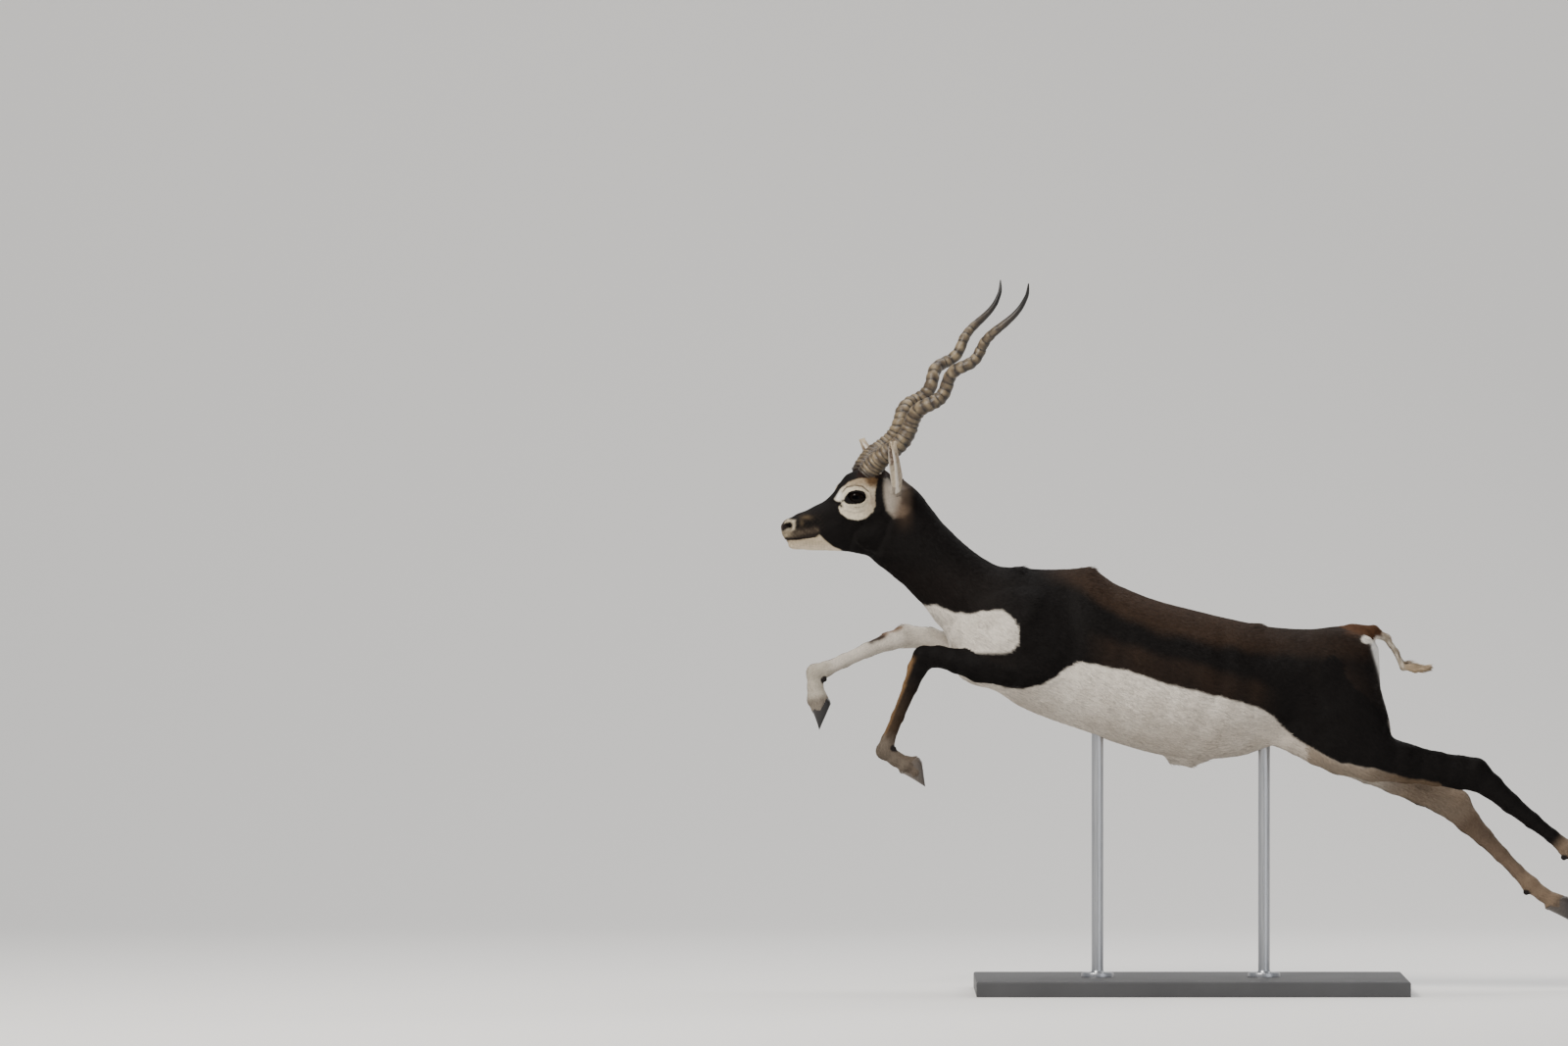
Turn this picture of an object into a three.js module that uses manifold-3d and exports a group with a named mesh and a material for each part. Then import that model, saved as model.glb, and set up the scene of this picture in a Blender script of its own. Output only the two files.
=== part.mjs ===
// Adult male blackbuck in mid leap, life size, on a plain display stand.
// Millimetres, +Z up, the animal faces -X and its left side faces -Y.
// The stand rests on Z = 0 and the origin is the centre of its underside.
//
// Side profiles are laid out on a drawing whose unit is 1/550 m: u runs toward
// the tail, w runs down. Widths, radii and lateral positions are in mm.
import * as THREE from 'three';
import Module from 'manifold-3d';

const wasm = await Module();
wasm.setup();

// ------------------------------------------------------------ driving sizes
const UNIT = 1 / 0.55;          // mm per drawing unit
const U0 = 1215;                // drawing u above the stand centre
const W0 = 1012;                // drawing w of the ground
const GAP = 0.3;                // clearance between neighbouring solids
const FLESH_TRIS = 4500;        // facets kept on the flesh before it is parted
const KEEP = 0.62;              // share of its facets each parted piece keeps
const HEAD_YAW = 10;            // degrees, muzzle turned to the animal's left
const HEAD_ROLL = 1.5;          // degrees, right side up

const EYE_R = 18.2;             // eyeball
const EYE_AT = [869.6, 507, 35.2]; // u, w, lateral
const LID_R = 21.4;

const HORN = {
  base: [883.5, 478, 35], top: [1035.1, 286.2, 139], // axis ends: u, w, lateral
  coil: 7.2, rings: 24, sides: 10, ridge: 0.07,
};
const PLATE = { length: 800, width: 480, thick: 28, bevel: 4 };
const ROD = { radius: 11, at: [1120, 1290], sink: 30, flange: 30, flangeThick: 8 };

const X = (u) => (u - U0) * UNIT;
const Z = (w) => (W0 - w) * UNIT;
const rad = (d) => (d * Math.PI) / 180;

// ------------------------------------------------------------ curve helpers
function curve(xs, ys, n = 240) {
  const m = xs.length, h = [], d = [], s = new Float64Array(m);
  for (let i = 0; i < m - 1; i++) { h.push(xs[i + 1] - xs[i]); d.push((ys[i + 1] - ys[i]) / h[i]); }
  s[0] = d[0]; s[m - 1] = d[m - 2];
  for (let i = 1; i < m - 1; i++) {
    if (d[i - 1] * d[i] <= 0) s[i] = 0;
    else { const a = 2 * h[i] + h[i - 1], b = h[i] + 2 * h[i - 1]; s[i] = (a + b) / (a / d[i - 1] + b / d[i]); }
  }
  const out = new Float64Array(n);
  for (let k = 0, i = 0; k < n; k++) {
    const q = xs[0] + ((xs[m - 1] - xs[0]) * k) / (n - 1);
    while (i < m - 2 && q > xs[i + 1]) i++;
    const t = (q - xs[i]) / h[i], t2 = t * t, t3 = t2 * t;
    out[k] = ys[i] * (2 * t3 - 3 * t2 + 1) + h[i] * s[i] * (t3 - 2 * t2 + t) + ys[i + 1] * (3 * t2 - 2 * t3) + h[i] * s[i + 1] * (t3 - t2);
  }
  return out;
}
function smin(a, b, k) { const h = Math.max(k - Math.abs(a - b), 0) / k; return Math.min(a, b) - h * h * k * 0.25; }
function smax(a, b, k) { return -smin(-a, -b, k); }

// head frame: turned about the top of the neck
const PIVOT = [X(903), 0, Z(515)];
const CY = Math.cos(rad(HEAD_YAW)), SY = Math.sin(rad(HEAD_YAW));
const CR = Math.cos(rad(HEAD_ROLL)), SR = Math.sin(rad(HEAD_ROLL));
function toHead(x, y, z) {
  const dx = x - PIVOT[0], dy = y - PIVOT[1], dz = z - PIVOT[2];
  const lx = CY * dx + SY * dy, ly = -SY * dx + CY * dy;
  return [lx + PIVOT[0], CR * ly + SR * dz + PIVOT[1], -SR * ly + CR * dz + PIVOT[2]];
}
function fromHead(x, y, z) {
  const dx = x - PIVOT[0], dy = y - PIVOT[1], dz = z - PIVOT[2];
  const ly = CR * dy - SR * dz, lz = SR * dy + CR * dz;
  return [CY * dx - SY * ly + PIVOT[0], SY * dx + CY * ly + PIVOT[1], lz + PIVOT[2]];
}

// ------------------------------------------------------------ shape functions
// Each returns { f(x,y,z), box } with f < 0 inside.

// A body lofted along a line of the side view. Stations: along, top, bottom (drawing
// units, measured from the origin across the line), half width mm, height of the
// widest point (0..1), roundness above and below it.
function loft(ou, ow, deg, stations) {
  const ox = X(ou), oz = Z(ow), c = Math.cos(rad(deg)), s = Math.sin(rad(deg));
  const st = stations.map(([q, t, b, hw, mid = 0.5, nu = 2, nd = 2]) => [q * UNIT, t * UNIT, b * UNIT, hw, mid, nu, nd]);
  const qs = st.map((r) => r[0]), s0 = qs[0], s1 = qs[qs.length - 1];
  const lut = [1, 2, 3, 4, 5, 6].map((j) => curve(qs, st.map((r) => r[j])));
  const n = lut[0].length;
  const v = new Float64Array(6);
  const f = (x, y, z) => {
    const dx = x - ox, dz = z - oz, q = dx * c - dz * s, vv = dx * s + dz * c;
    const qc = Math.min(Math.max(q, s0), s1);
    const ti = ((qc - s0) / (s1 - s0)) * (n - 1), i = Math.min(Math.floor(ti), n - 2), t = ti - i;
    for (let j = 0; j < 6; j++) v[j] = lut[j][i] * (1 - t) + lut[j][i + 1] * t;
    const m = v[1] + (v[0] - v[1]) * v[3], dv = vv - m;
    const av = dv > 0 ? v[0] - m : m - v[1], e = dv > 0 ? v[4] : v[5], hw = v[2];
    const a = Math.abs(y) / hw, b = Math.abs(dv) / av;
    const rho = (a ** e + b ** e) ** (1 / e);
    let val;
    if (rho < 0.35) val = -Math.min(hw, av) * (1 - rho);
    else {
      const gx = Math.abs(y) / (hw * hw), gv = Math.abs(dv) / (av * av);
      val = ((rho - 1) * Math.sqrt(a * a + b * b)) / (Math.sqrt(gx * gx + gv * gv) + 1e-9);
    }
    const de = Math.abs(q - qc);
    if (de > 0) val = val > 0 ? Math.sqrt(val * val + de * de) : Math.max(de, val);
    return val;
  };
  const tMax = Math.max(...st.map((r) => r[1])), bMin = Math.min(...st.map((r) => r[2])), hwMax = Math.max(...st.map((r) => r[3]));
  const px = [], pz = [];
  for (const q of [s0, s1]) for (const w of [tMax, bMin]) { px.push(ox + q * c + w * s); pz.push(oz - q * s + w * c); }
  return { f, box: [Math.min(...px), Math.max(...px), -hwMax, hwMax, Math.min(...pz), Math.max(...pz)] };
}
// Straight runs of round limb: [u, w, lateral y, radius, lateral flattening]
function limb(joints, k = 8) {
  const st = joints.map(([u, w, y, r, fl = 0.85]) => [X(u), y, Z(w), r, fl]);
  const seg = [];
  for (let i = 0; i < st.length - 1; i++) {
    const A = st[i], B = st[i + 1], b = [B[0] - A[0], B[1] - A[1], B[2] - A[2]];
    seg.push({ A, B, b, L: b[0] ** 2 + b[1] ** 2 + b[2] ** 2 });
  }
  const f = (x, y, z) => {
    let out = 1e9;
    for (const g of seg) {
      const { A, B, b, L } = g;
      const t = Math.min(Math.max(((x - A[0]) * b[0] + (y - A[1]) * b[1] + (z - A[2]) * b[2]) / L, 0), 1);
      const dx = x - A[0] - t * b[0], dy = y - A[1] - t * b[1], dz = z - A[2] - t * b[2];
      const r = A[3] + (B[3] - A[3]) * t, fl = A[4] + (B[4] - A[4]) * t;
      const d2 = dx * dx + dz * dz, yf = dy / fl, rho = Math.sqrt(d2 + yf * yf) + 1e-9;
      const val = ((rho - r) * rho) / (Math.sqrt(d2 + (yf / fl) ** 2) + 1e-9);
      out = out > 1e8 ? val : smin(out, val, k);
    }
    return out;
  };
  const R = Math.max(...st.map((r) => r[3]));
  const lo = (j) => Math.min(...st.map((r) => r[j])) - R, hi = (j) => Math.max(...st.map((r) => r[j])) + R;
  return { f, box: [lo(0), hi(0), lo(1), hi(1), lo(2), hi(2)] };
}
// Oriented ellipsoid: centre u, w, y; radii along, lateral, across (mm); pitch, yaw degrees
function knob(u, w, y, rs, ry, rv, deg = 0, yaw = 0) {
  const p = [X(u), y, Z(w)], c = Math.cos(rad(deg)), s = Math.sin(rad(deg)), cy = Math.cos(rad(yaw)), sy = Math.sin(rad(yaw));
  const f = (x, yy, z) => {
    const ex = x - p[0], ey = yy - p[1], dz = z - p[2];
    const dx = cy * ex + sy * ey, dy = -sy * ex + cy * ey;
    const q = dx * c - dz * s, v = dx * s + dz * c;
    const k0 = Math.sqrt((q / rs) ** 2 + (dy / ry) ** 2 + (v / rv) ** 2) + 1e-9;
    const k1 = Math.sqrt((q / rs ** 2) ** 2 + (dy / ry ** 2) ** 2 + (v / rv ** 2) ** 2) + 1e-9;
    return (k0 * (k0 - 1)) / k1;
  };
  const m = Math.max(rs, ry, rv);
  return { f, box: [p[0] - m, p[0] + m, p[1] - m, p[1] + m, p[2] - m, p[2] + m] };
}
// A leaf-shaped ear bent into a cup. Frame in head axes: foot point, axis, opening.
function earFrame(side) {
  const L = side < 0 ? EARS.left : EARS.right;
  const foot = new THREE.Vector3(X(L.foot[0]), L.foot[2] * side, Z(L.foot[1]));
  const tip = new THREE.Vector3(X(L.tip[0]), L.tip[2] * side, Z(L.tip[1]));
  const a = tip.clone().sub(foot), length = a.length(); a.normalize();
  const open = new THREE.Vector3(-Math.cos(rad(L.open)), side * Math.sin(rad(L.open)), 0);
  const c = open.sub(a.clone().multiplyScalar(open.dot(a))).normalize();
  const b = new THREE.Vector3().crossVectors(c, a);
  return { foot, a, b, c, length };
}
const EARS = {
  left: { foot: [907, 500, 52], tip: [896, 448.5, 119], open: 11 },
  right: { foot: [906.5, 500, 52], tip: [887.5, 450, 121], open: 11 },
  halfWidth: 21, cup: 19.5, shell: 2, levels: 9, across: 6, seat: 10,
};
// half breadth of the ear from its foot (t = 0) to its tip (t = 1)
const EAR_W = curve([-0.2, 0, 0.15, 0.35, 0.55, 0.75, 0.88, 0.96, 1], [0.38, 0.5, 0.76, 0.98, 1, 0.76, 0.44, 0.2, 0.07]);
const earWidth = (t) => { const x = Math.min(Math.max((t + 0.2) / 1.2, 0), 1) * 239, i = Math.min(Math.floor(x), 238); return EARS.halfWidth * (EAR_W[i] + (EAR_W[i + 1] - EAR_W[i]) * (x - i)); };
// ------------------------------------------------------------ the animal
const both = (fn) => [fn(-1), fn(1)];

const trunk = loft(0, 0, 0, [
  [970, -640, -670, 34, 0.5], [980, -620, -686, 58, 0.5], [996, -599, -698, 76, 0.5], [1016, -585, -706, 88, 0.5, 1.8, 2],
  [1040, -579, -721, 96, 0.5, 1.7, 1.9], [1070, -580, -734, 101, 0.5, 1.7, 1.9], [1108, -579, -747, 106, 0.5, 1.75, 1.9], [1140, -595.5, -759, 110, 0.48, 1.9, 2],
  [1180, -611.5, -770, 114, 0.47, 2, 2], [1220, -622, -776, 114, 0.47, 2, 2], [1260, -631.5, -773, 108, 0.48, 2, 2], [1300, -639, -761, 97, 0.5, 2.1, 2],
  [1335, -641, -752, 91, 0.55, 2.2, 2], [1368, -638, -745, 84, 0.6, 2.1, 2], [1392, -642, -730, 70, 0.6], [1406, -658, -712, 48, 0.6],
]);
const NECK_PITCH = 46;
const neck = loft(905, 520, NECK_PITCH, [
  [-12, 34, -26, 38], [8, 36, -40, 45], [30, 34, -44.5, 48], [50, 32.3, -43, 50], [70, 32.8, -41, 53], [95, 35.5, -41.5, 59, 0.5, 1.8], [120, 42, -44.5, 66, 0.5, 1.7],
  [150, 52, -45, 72, 0.5, 1.7], [176, 56, -42, 74, 0.5, 1.7],
]);
// masses of the shoulder, and of the haunch
const shoulder = both((s) => knob(1036, 648, s * 62, 78, 40, 88, 58));
const brisket = knob(1000, 668, 0, 46, 46, 52, 40);

const foreleg = [
  limb([[1066, 678, -74, 40, 0.8], [1036, 683, -76, 34, 0.8], [1000, 680, -72, 29, 0.82], [978, 674, -68, 23.5], [958, 669, -64, 20.5, 0.92], [943, 670, -61, 22, 0.95],
    [936, 681, -60, 18.5], [929, 699, -58, 14.6], [916, 730, -54, 12.2], [906, 754, -51, 13], [903, 765, -50, 17, 0.95], [914, 773.5, -49, 14, 1.1], [926, 780, -48, 16.5, 1.2], [934, 786, -48, 15, 1.2]], 6),
  limb([[1050, 682, 74, 38, 0.8], [1020, 677, 75, 32, 0.8], [985, 665, 71, 25, 0.82], [950, 652, 66, 21.5], [925, 649.5, 62, 22.5, 0.95],
    [908, 654.5, 60, 18], [886, 663.5, 57, 14.2], [862, 674.5, 54, 13.2], [843, 683, 52, 14.5], [833, 687.5, 51, 18.5, 0.95], [831.8, 700, 50, 14.8, 1.1], [834, 713.5, 49, 19, 1.2], [836, 721.5, 49, 16, 1.2]], 6),
];
const haunch = both((s) => limb([[1360, 688, s * 50, 80, 0.5], [1370, 730, s * 54, 79, 0.5], [1378, 744, s * 55, 74, 0.5]], 14));
const hindleg = [
  limb([[1372, 760, -64, 56, 0.6], [1400, 770.5, -66, 48, 0.56], [1432, 777.5, -64, 38.5, 0.54], [1462, 783, -61, 32.5, 0.53], [1488, 787, -58, 31.5, 0.55], [1503, 789, -57, 31, 0.6],
    [1520, 801, -55, 23, 0.7], [1540, 818.5, -53, 18.8, 0.8], [1562, 836, -52, 15.3], [1582, 851.5, -51, 13], [1598, 865, -50, 16.2, 0.95], [1611, 876, -49, 13.5, 1.1], [1624, 886, -49, 16, 1.2], [1633, 893, -49, 14, 1.2]], 6),
  limb([[1374, 763, 64, 55, 0.6], [1398, 777, 66, 43, 0.58], [1426, 791, 64, 37.5, 0.54], [1452, 804.5, 61, 33, 0.52], [1474, 815, 58, 31, 0.55], [1486, 822, 57, 30.5, 0.6],
    [1499, 838, 55, 23, 0.7], [1515, 854, 53, 17.5, 0.8], [1533, 872.5, 52, 14.3], [1549, 889, 51, 13], [1563, 903.5, 50, 16.2, 0.95], [1575.5, 913, 49, 13.5, 1.1], [1588, 921, 49, 16, 1.2], [1597, 927, 49, 14, 1.2]], 6),
];
// fold of skin from the flank to the stifle
const fold = both((s) => limb([[1300, 742, s * 44, 34, 0.5], [1327, 750, s * 48, 38, 0.5], [1346, 757, s * 53, 43, 0.5], [1362, 760, s * 58, 48, 0.55]], 8));
const dewclaws = [[911.5, 763, -1, 64], [841, 694, 1, 40], [1594.5, 874.5, -1, 64], [1558.5, 911.8, 1, 64]]
  .flatMap(([u, w, s]) => [knob(u, w, s * 58, 7.5, 5, 6), knob(u, w, s * 42, 7.5, 5, 6)]);
const tail = limb([[1380, 647, 0, 20, 1], [1400, 645, 0, 14, 1], [1414, 650, 0, 9, 1], [1423.5, 664, 0, 7.4, 1], [1431.5, 680.5, 0, 8.6, 1], [1443, 683, 0, 7.2, 1], [1458, 681, 0, 3.8, 1]], 5);
const prepuce = limb([[1196, 774, 0, 12, 1], [1214, 776.5, 0, 12, 1], [1226, 774, 0, 9, 1]], 8);

// head, in its own frame
const skull = loft(0, 0, 0, [
  [796.8, -536, -545.6, 9.5, 0.5], [799.8, -531.4, -550.6, 15.5, 0.5], [805.6, -527.4, -555.6, 19.8, 0.5], [813, -523, -559.5, 21.5, 0.5], [821, -520.2, -561.3, 22, 0.5, 2.2, 2], [830, -515.5, -562, 23, 0.5, 2.1, 1.9],
  [840, -510.5, -562, 26, 0.55, 2, 1.8], [849, -502.4, -562.3, 31, 0.6, 2, 1.7], [856, -492.8, -562.6, 37, 0.64, 2.1, 1.6], [864, -483.6, -563.2, 43, 0.66, 2.3, 1.5],
  [874, -479.3, -565, 46, 0.66, 2.4, 1.5], [886, -476.5, -567.5, 46.5, 0.64, 2.4, 1.5], [898, -477.5, -574, 45, 0.6, 2.2, 1.6], [910, -485, -578, 41, 0.55], [922, -498, -574, 34, 0.5],
]);
const face = [
  ...both((s) => knob(868, 503.5, s * 33, 27, 19, 25, 0)),          // orbit
  ...both((s) => knob(890, 546, s * 24, 36, 17, 27, -14)),            // cheek
  ...both((s) => knob(886.5, 484, s * 28, 26, 20, 21.5, -34)),            // foot of the horn
  knob(802.8, 537, 0, 13, 18, 14, 20),                                  // nose
  knob(810, 556, 0, 13, 14, 8, 0),                                    // chin
];
const lids = both((s) => knob(EYE_AT[0], EYE_AT[1], s * EYE_AT[2], LID_R + 1.5, LID_R, LID_R, 0));
const nostrils = both((s) => knob(802.4, 536.4, s * 14.5, 9, 6.5, 4.4, 14, s * 36));

function headField(x, y, z) {
  const [a, b, c] = toHead(x, y, z);
  let v = skull.f(a, b, c);
  for (const g of face) v = smin(v, g.f(a, b, c), 9);
  for (const g of lids) v = smin(v, g.f(a, b, c), 4);
  for (const g of nostrils) v = smax(v, -g.f(a, b, c), 1.5);
  // line of the mouth
  const mu = U0 + a / UNIT, mw = W0 - c / UNIT;
  if (mu > 796 && mu < 842) {
    const line = 549.6 - (mu - 803) * 0.075, depth = 3.2 * Math.min(1, Math.max(0, (836 - mu) / 8));
    const crease = (Math.abs(mw - line) * UNIT) - 1.9;
    v = Math.max(v, Math.min(-crease, v + depth));
  }
  return v;
}
const headBox = [X(780), X(940), -125, 125, Z(592), Z(430)];

// order, blend radius
const FLESH = [
  [trunk, 0], [neck, 26], [brisket, 22], ...shoulder.map((g) => [g, 22]), ...haunch.map((g) => [g, 22]), ...fold.map((g) => [g, 16]),
  ...hindleg.map((g) => [g, 16]), ...foreleg.map((g) => [g, 14]), [tail, 12], [prepuce, 14],
  ...dewclaws.map((g) => [g, 4]), [{ f: headField, box: headBox }, 14],
];

// ------------------------------------------------------------ surfacing
function axisLines(ranges) {
  const out = [ranges[0][0]];
  for (const [a, b, h] of ranges) { const n = Math.max(1, Math.round((b - a) / h)); for (let i = 1; i <= n; i++) out.push(a + ((b - a) * i) / n); }
  return Float64Array.from(out);
}
function surface() {
  const gx = axisLines([[X(788), X(932), 2.3], [X(932), X(1000), 4.5], [X(1000), X(1380), 8], [X(1380), X(1475), 3.6], [X(1475), X(1645), 5]]);
  const gy = axisLines([[-132, -88, 4.4], [-88, 88, 2.6], [88, 132, 4.4]]);
  const gz = axisLines([[Z(940), Z(780), 5], [Z(780), Z(600), 5.5], [Z(600), Z(436), 2.5]]);
  const nx = gx.length, ny = gy.length, nz = gz.length;
  const F = new Float32Array(nx * ny * nz).fill(60);
  const B = 12, pad = 34;
  for (let bi = 0; bi < nx; bi += B) for (let bj = 0; bj < ny; bj += B) for (let bk = 0; bk < nz; bk += B) {
    const ei = Math.min(bi + B, nx), ej = Math.min(bj + B, ny), ek = Math.min(bk + B, nz);
    const lo = [gx[bi], gy[bj], gz[bk]], hi = [gx[ei - 1], gy[ej - 1], gz[ek - 1]];
    const use = FLESH.filter(([g]) => g.box[0] - pad < hi[0] && g.box[1] + pad > lo[0] && g.box[2] - pad < hi[1] && g.box[3] + pad > lo[1] && g.box[4] - pad < hi[2] && g.box[5] + pad > lo[2]);
    if (!use.length) continue;
    for (let i = bi; i < ei; i++) for (let j = bj; j < ej; j++) for (let k = bk; k < ek; k++) {
      let v = 60;
      for (const [g, r] of use) { const q = g.f(gx[i], gy[j], gz[k]); v = r && v < 59 ? smin(v, q, r) : Math.min(v, q); }
      F[(i * ny + j) * nz + k] = v;
    }
  }
  const id = new Int32Array(nx * ny * nz).fill(-1), P = [];
  const at = (i, j, k) => (i * ny + j) * nz + k;
  const corner = [[0, 0, 0], [1, 0, 0], [0, 1, 0], [1, 1, 0], [0, 0, 1], [1, 0, 1], [0, 1, 1], [1, 1, 1]];
  const edges = [[0, 1], [2, 3], [4, 5], [6, 7], [0, 2], [1, 3], [4, 6], [5, 7], [0, 4], [1, 5], [2, 6], [3, 7]];
  // a cell the surface would cross twice has its faintest corner turned over
  const faces = [[0, 1, 3, 2], [4, 5, 7, 6], [0, 1, 5, 4], [2, 3, 7, 6], [0, 2, 6, 4], [1, 3, 7, 5]];
  const twice = new Uint8Array(256);
  for (let m = 1; m < 255; m++) {
    const on = (c) => (m >> c) & 1;
    if (faces.some(([a, b, c, d]) => on(a) === on(c) && on(b) === on(d) && on(a) !== on(b))) { twice[m] = 1; continue; }
    const g = [0, 1, 2, 3, 4, 5, 6, 7];
    for (let n = 0; n < 4; n++) for (const [a, b] of edges) if (on(a) === on(b)) g[a] = g[b] = Math.min(g[a], g[b]);
    if (new Set(g).size > 2) twice[m] = 1;
  }
  for (let pass = 0; pass < 8; pass++) {
    let n = 0;
    for (let i = 0; i < nx - 1; i++) for (let j = 0; j < ny - 1; j++) for (let k = 0; k < nz - 1; k++) {
      let mask = 0;
      for (let c = 0; c < 8; c++) if (F[at(i + corner[c][0], j + corner[c][1], k + corner[c][2])] < 0) mask |= 1 << c;
      if (!twice[mask]) continue;
      let best = -1, low = 1e9;
      for (let c = 0; c < 8; c++) { const q = at(i + corner[c][0], j + corner[c][1], k + corner[c][2]); if (Math.abs(F[q]) < low) { low = Math.abs(F[q]); best = q; } }
      F[best] = F[best] < 0 ? 0.35 + 0.1 * pass : -0.35 - 0.1 * pass;
      n++;
    }
    if (!n) break;
  }
  for (let i = 0; i < nx - 1; i++) for (let j = 0; j < ny - 1; j++) for (let k = 0; k < nz - 1; k++) {
    let mask = 0; const v = [];
    for (let c = 0; c < 8; c++) { const q = F[at(i + corner[c][0], j + corner[c][1], k + corner[c][2])]; v.push(q); if (q < 0) mask |= 1 << c; }
    if (mask === 0 || mask === 255) continue;
    let sx = 0, sy = 0, sz = 0, n = 0;
    for (const [a, b] of edges) {
      if ((v[a] < 0) === (v[b] < 0)) continue;
      const t = v[a] / (v[a] - v[b]), A = corner[a], C = corner[b];
      sx += A[0] + (C[0] - A[0]) * t; sy += A[1] + (C[1] - A[1]) * t; sz += A[2] + (C[2] - A[2]) * t; n++;
    }
    id[at(i, j, k)] = P.length / 3;
    P.push(gx[i] + (gx[i + 1] - gx[i]) * (sx / n), gy[j] + (gy[j + 1] - gy[j]) * (sy / n), gz[k] + (gz[k + 1] - gz[k]) * (sz / n));
  }
  const T = [];
  const quad = (a, b, c, d, flip) => { if (flip) T.push(a, c, b, a, d, c); else T.push(a, b, c, a, c, d); };
  for (let i = 1; i < nx - 1; i++) for (let j = 1; j < ny - 1; j++) for (let k = 1; k < nz - 1; k++) {
    const s = F[at(i, j, k)] < 0;
    if (s !== F[at(i + 1, j, k)] < 0) quad(id[at(i, j - 1, k - 1)], id[at(i, j, k - 1)], id[at(i, j, k)], id[at(i, j - 1, k)], !s);
    if (s !== F[at(i, j + 1, k)] < 0) quad(id[at(i - 1, j, k - 1)], id[at(i - 1, j, k)], id[at(i, j, k)], id[at(i, j, k - 1)], !s);
    if (s !== F[at(i, j, k + 1)] < 0) quad(id[at(i - 1, j - 1, k)], id[at(i, j - 1, k)], id[at(i, j, k)], id[at(i - 1, j, k)], !s);
  }
  return { P: Float64Array.from(P), T: Int32Array.from(T) };
}

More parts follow.
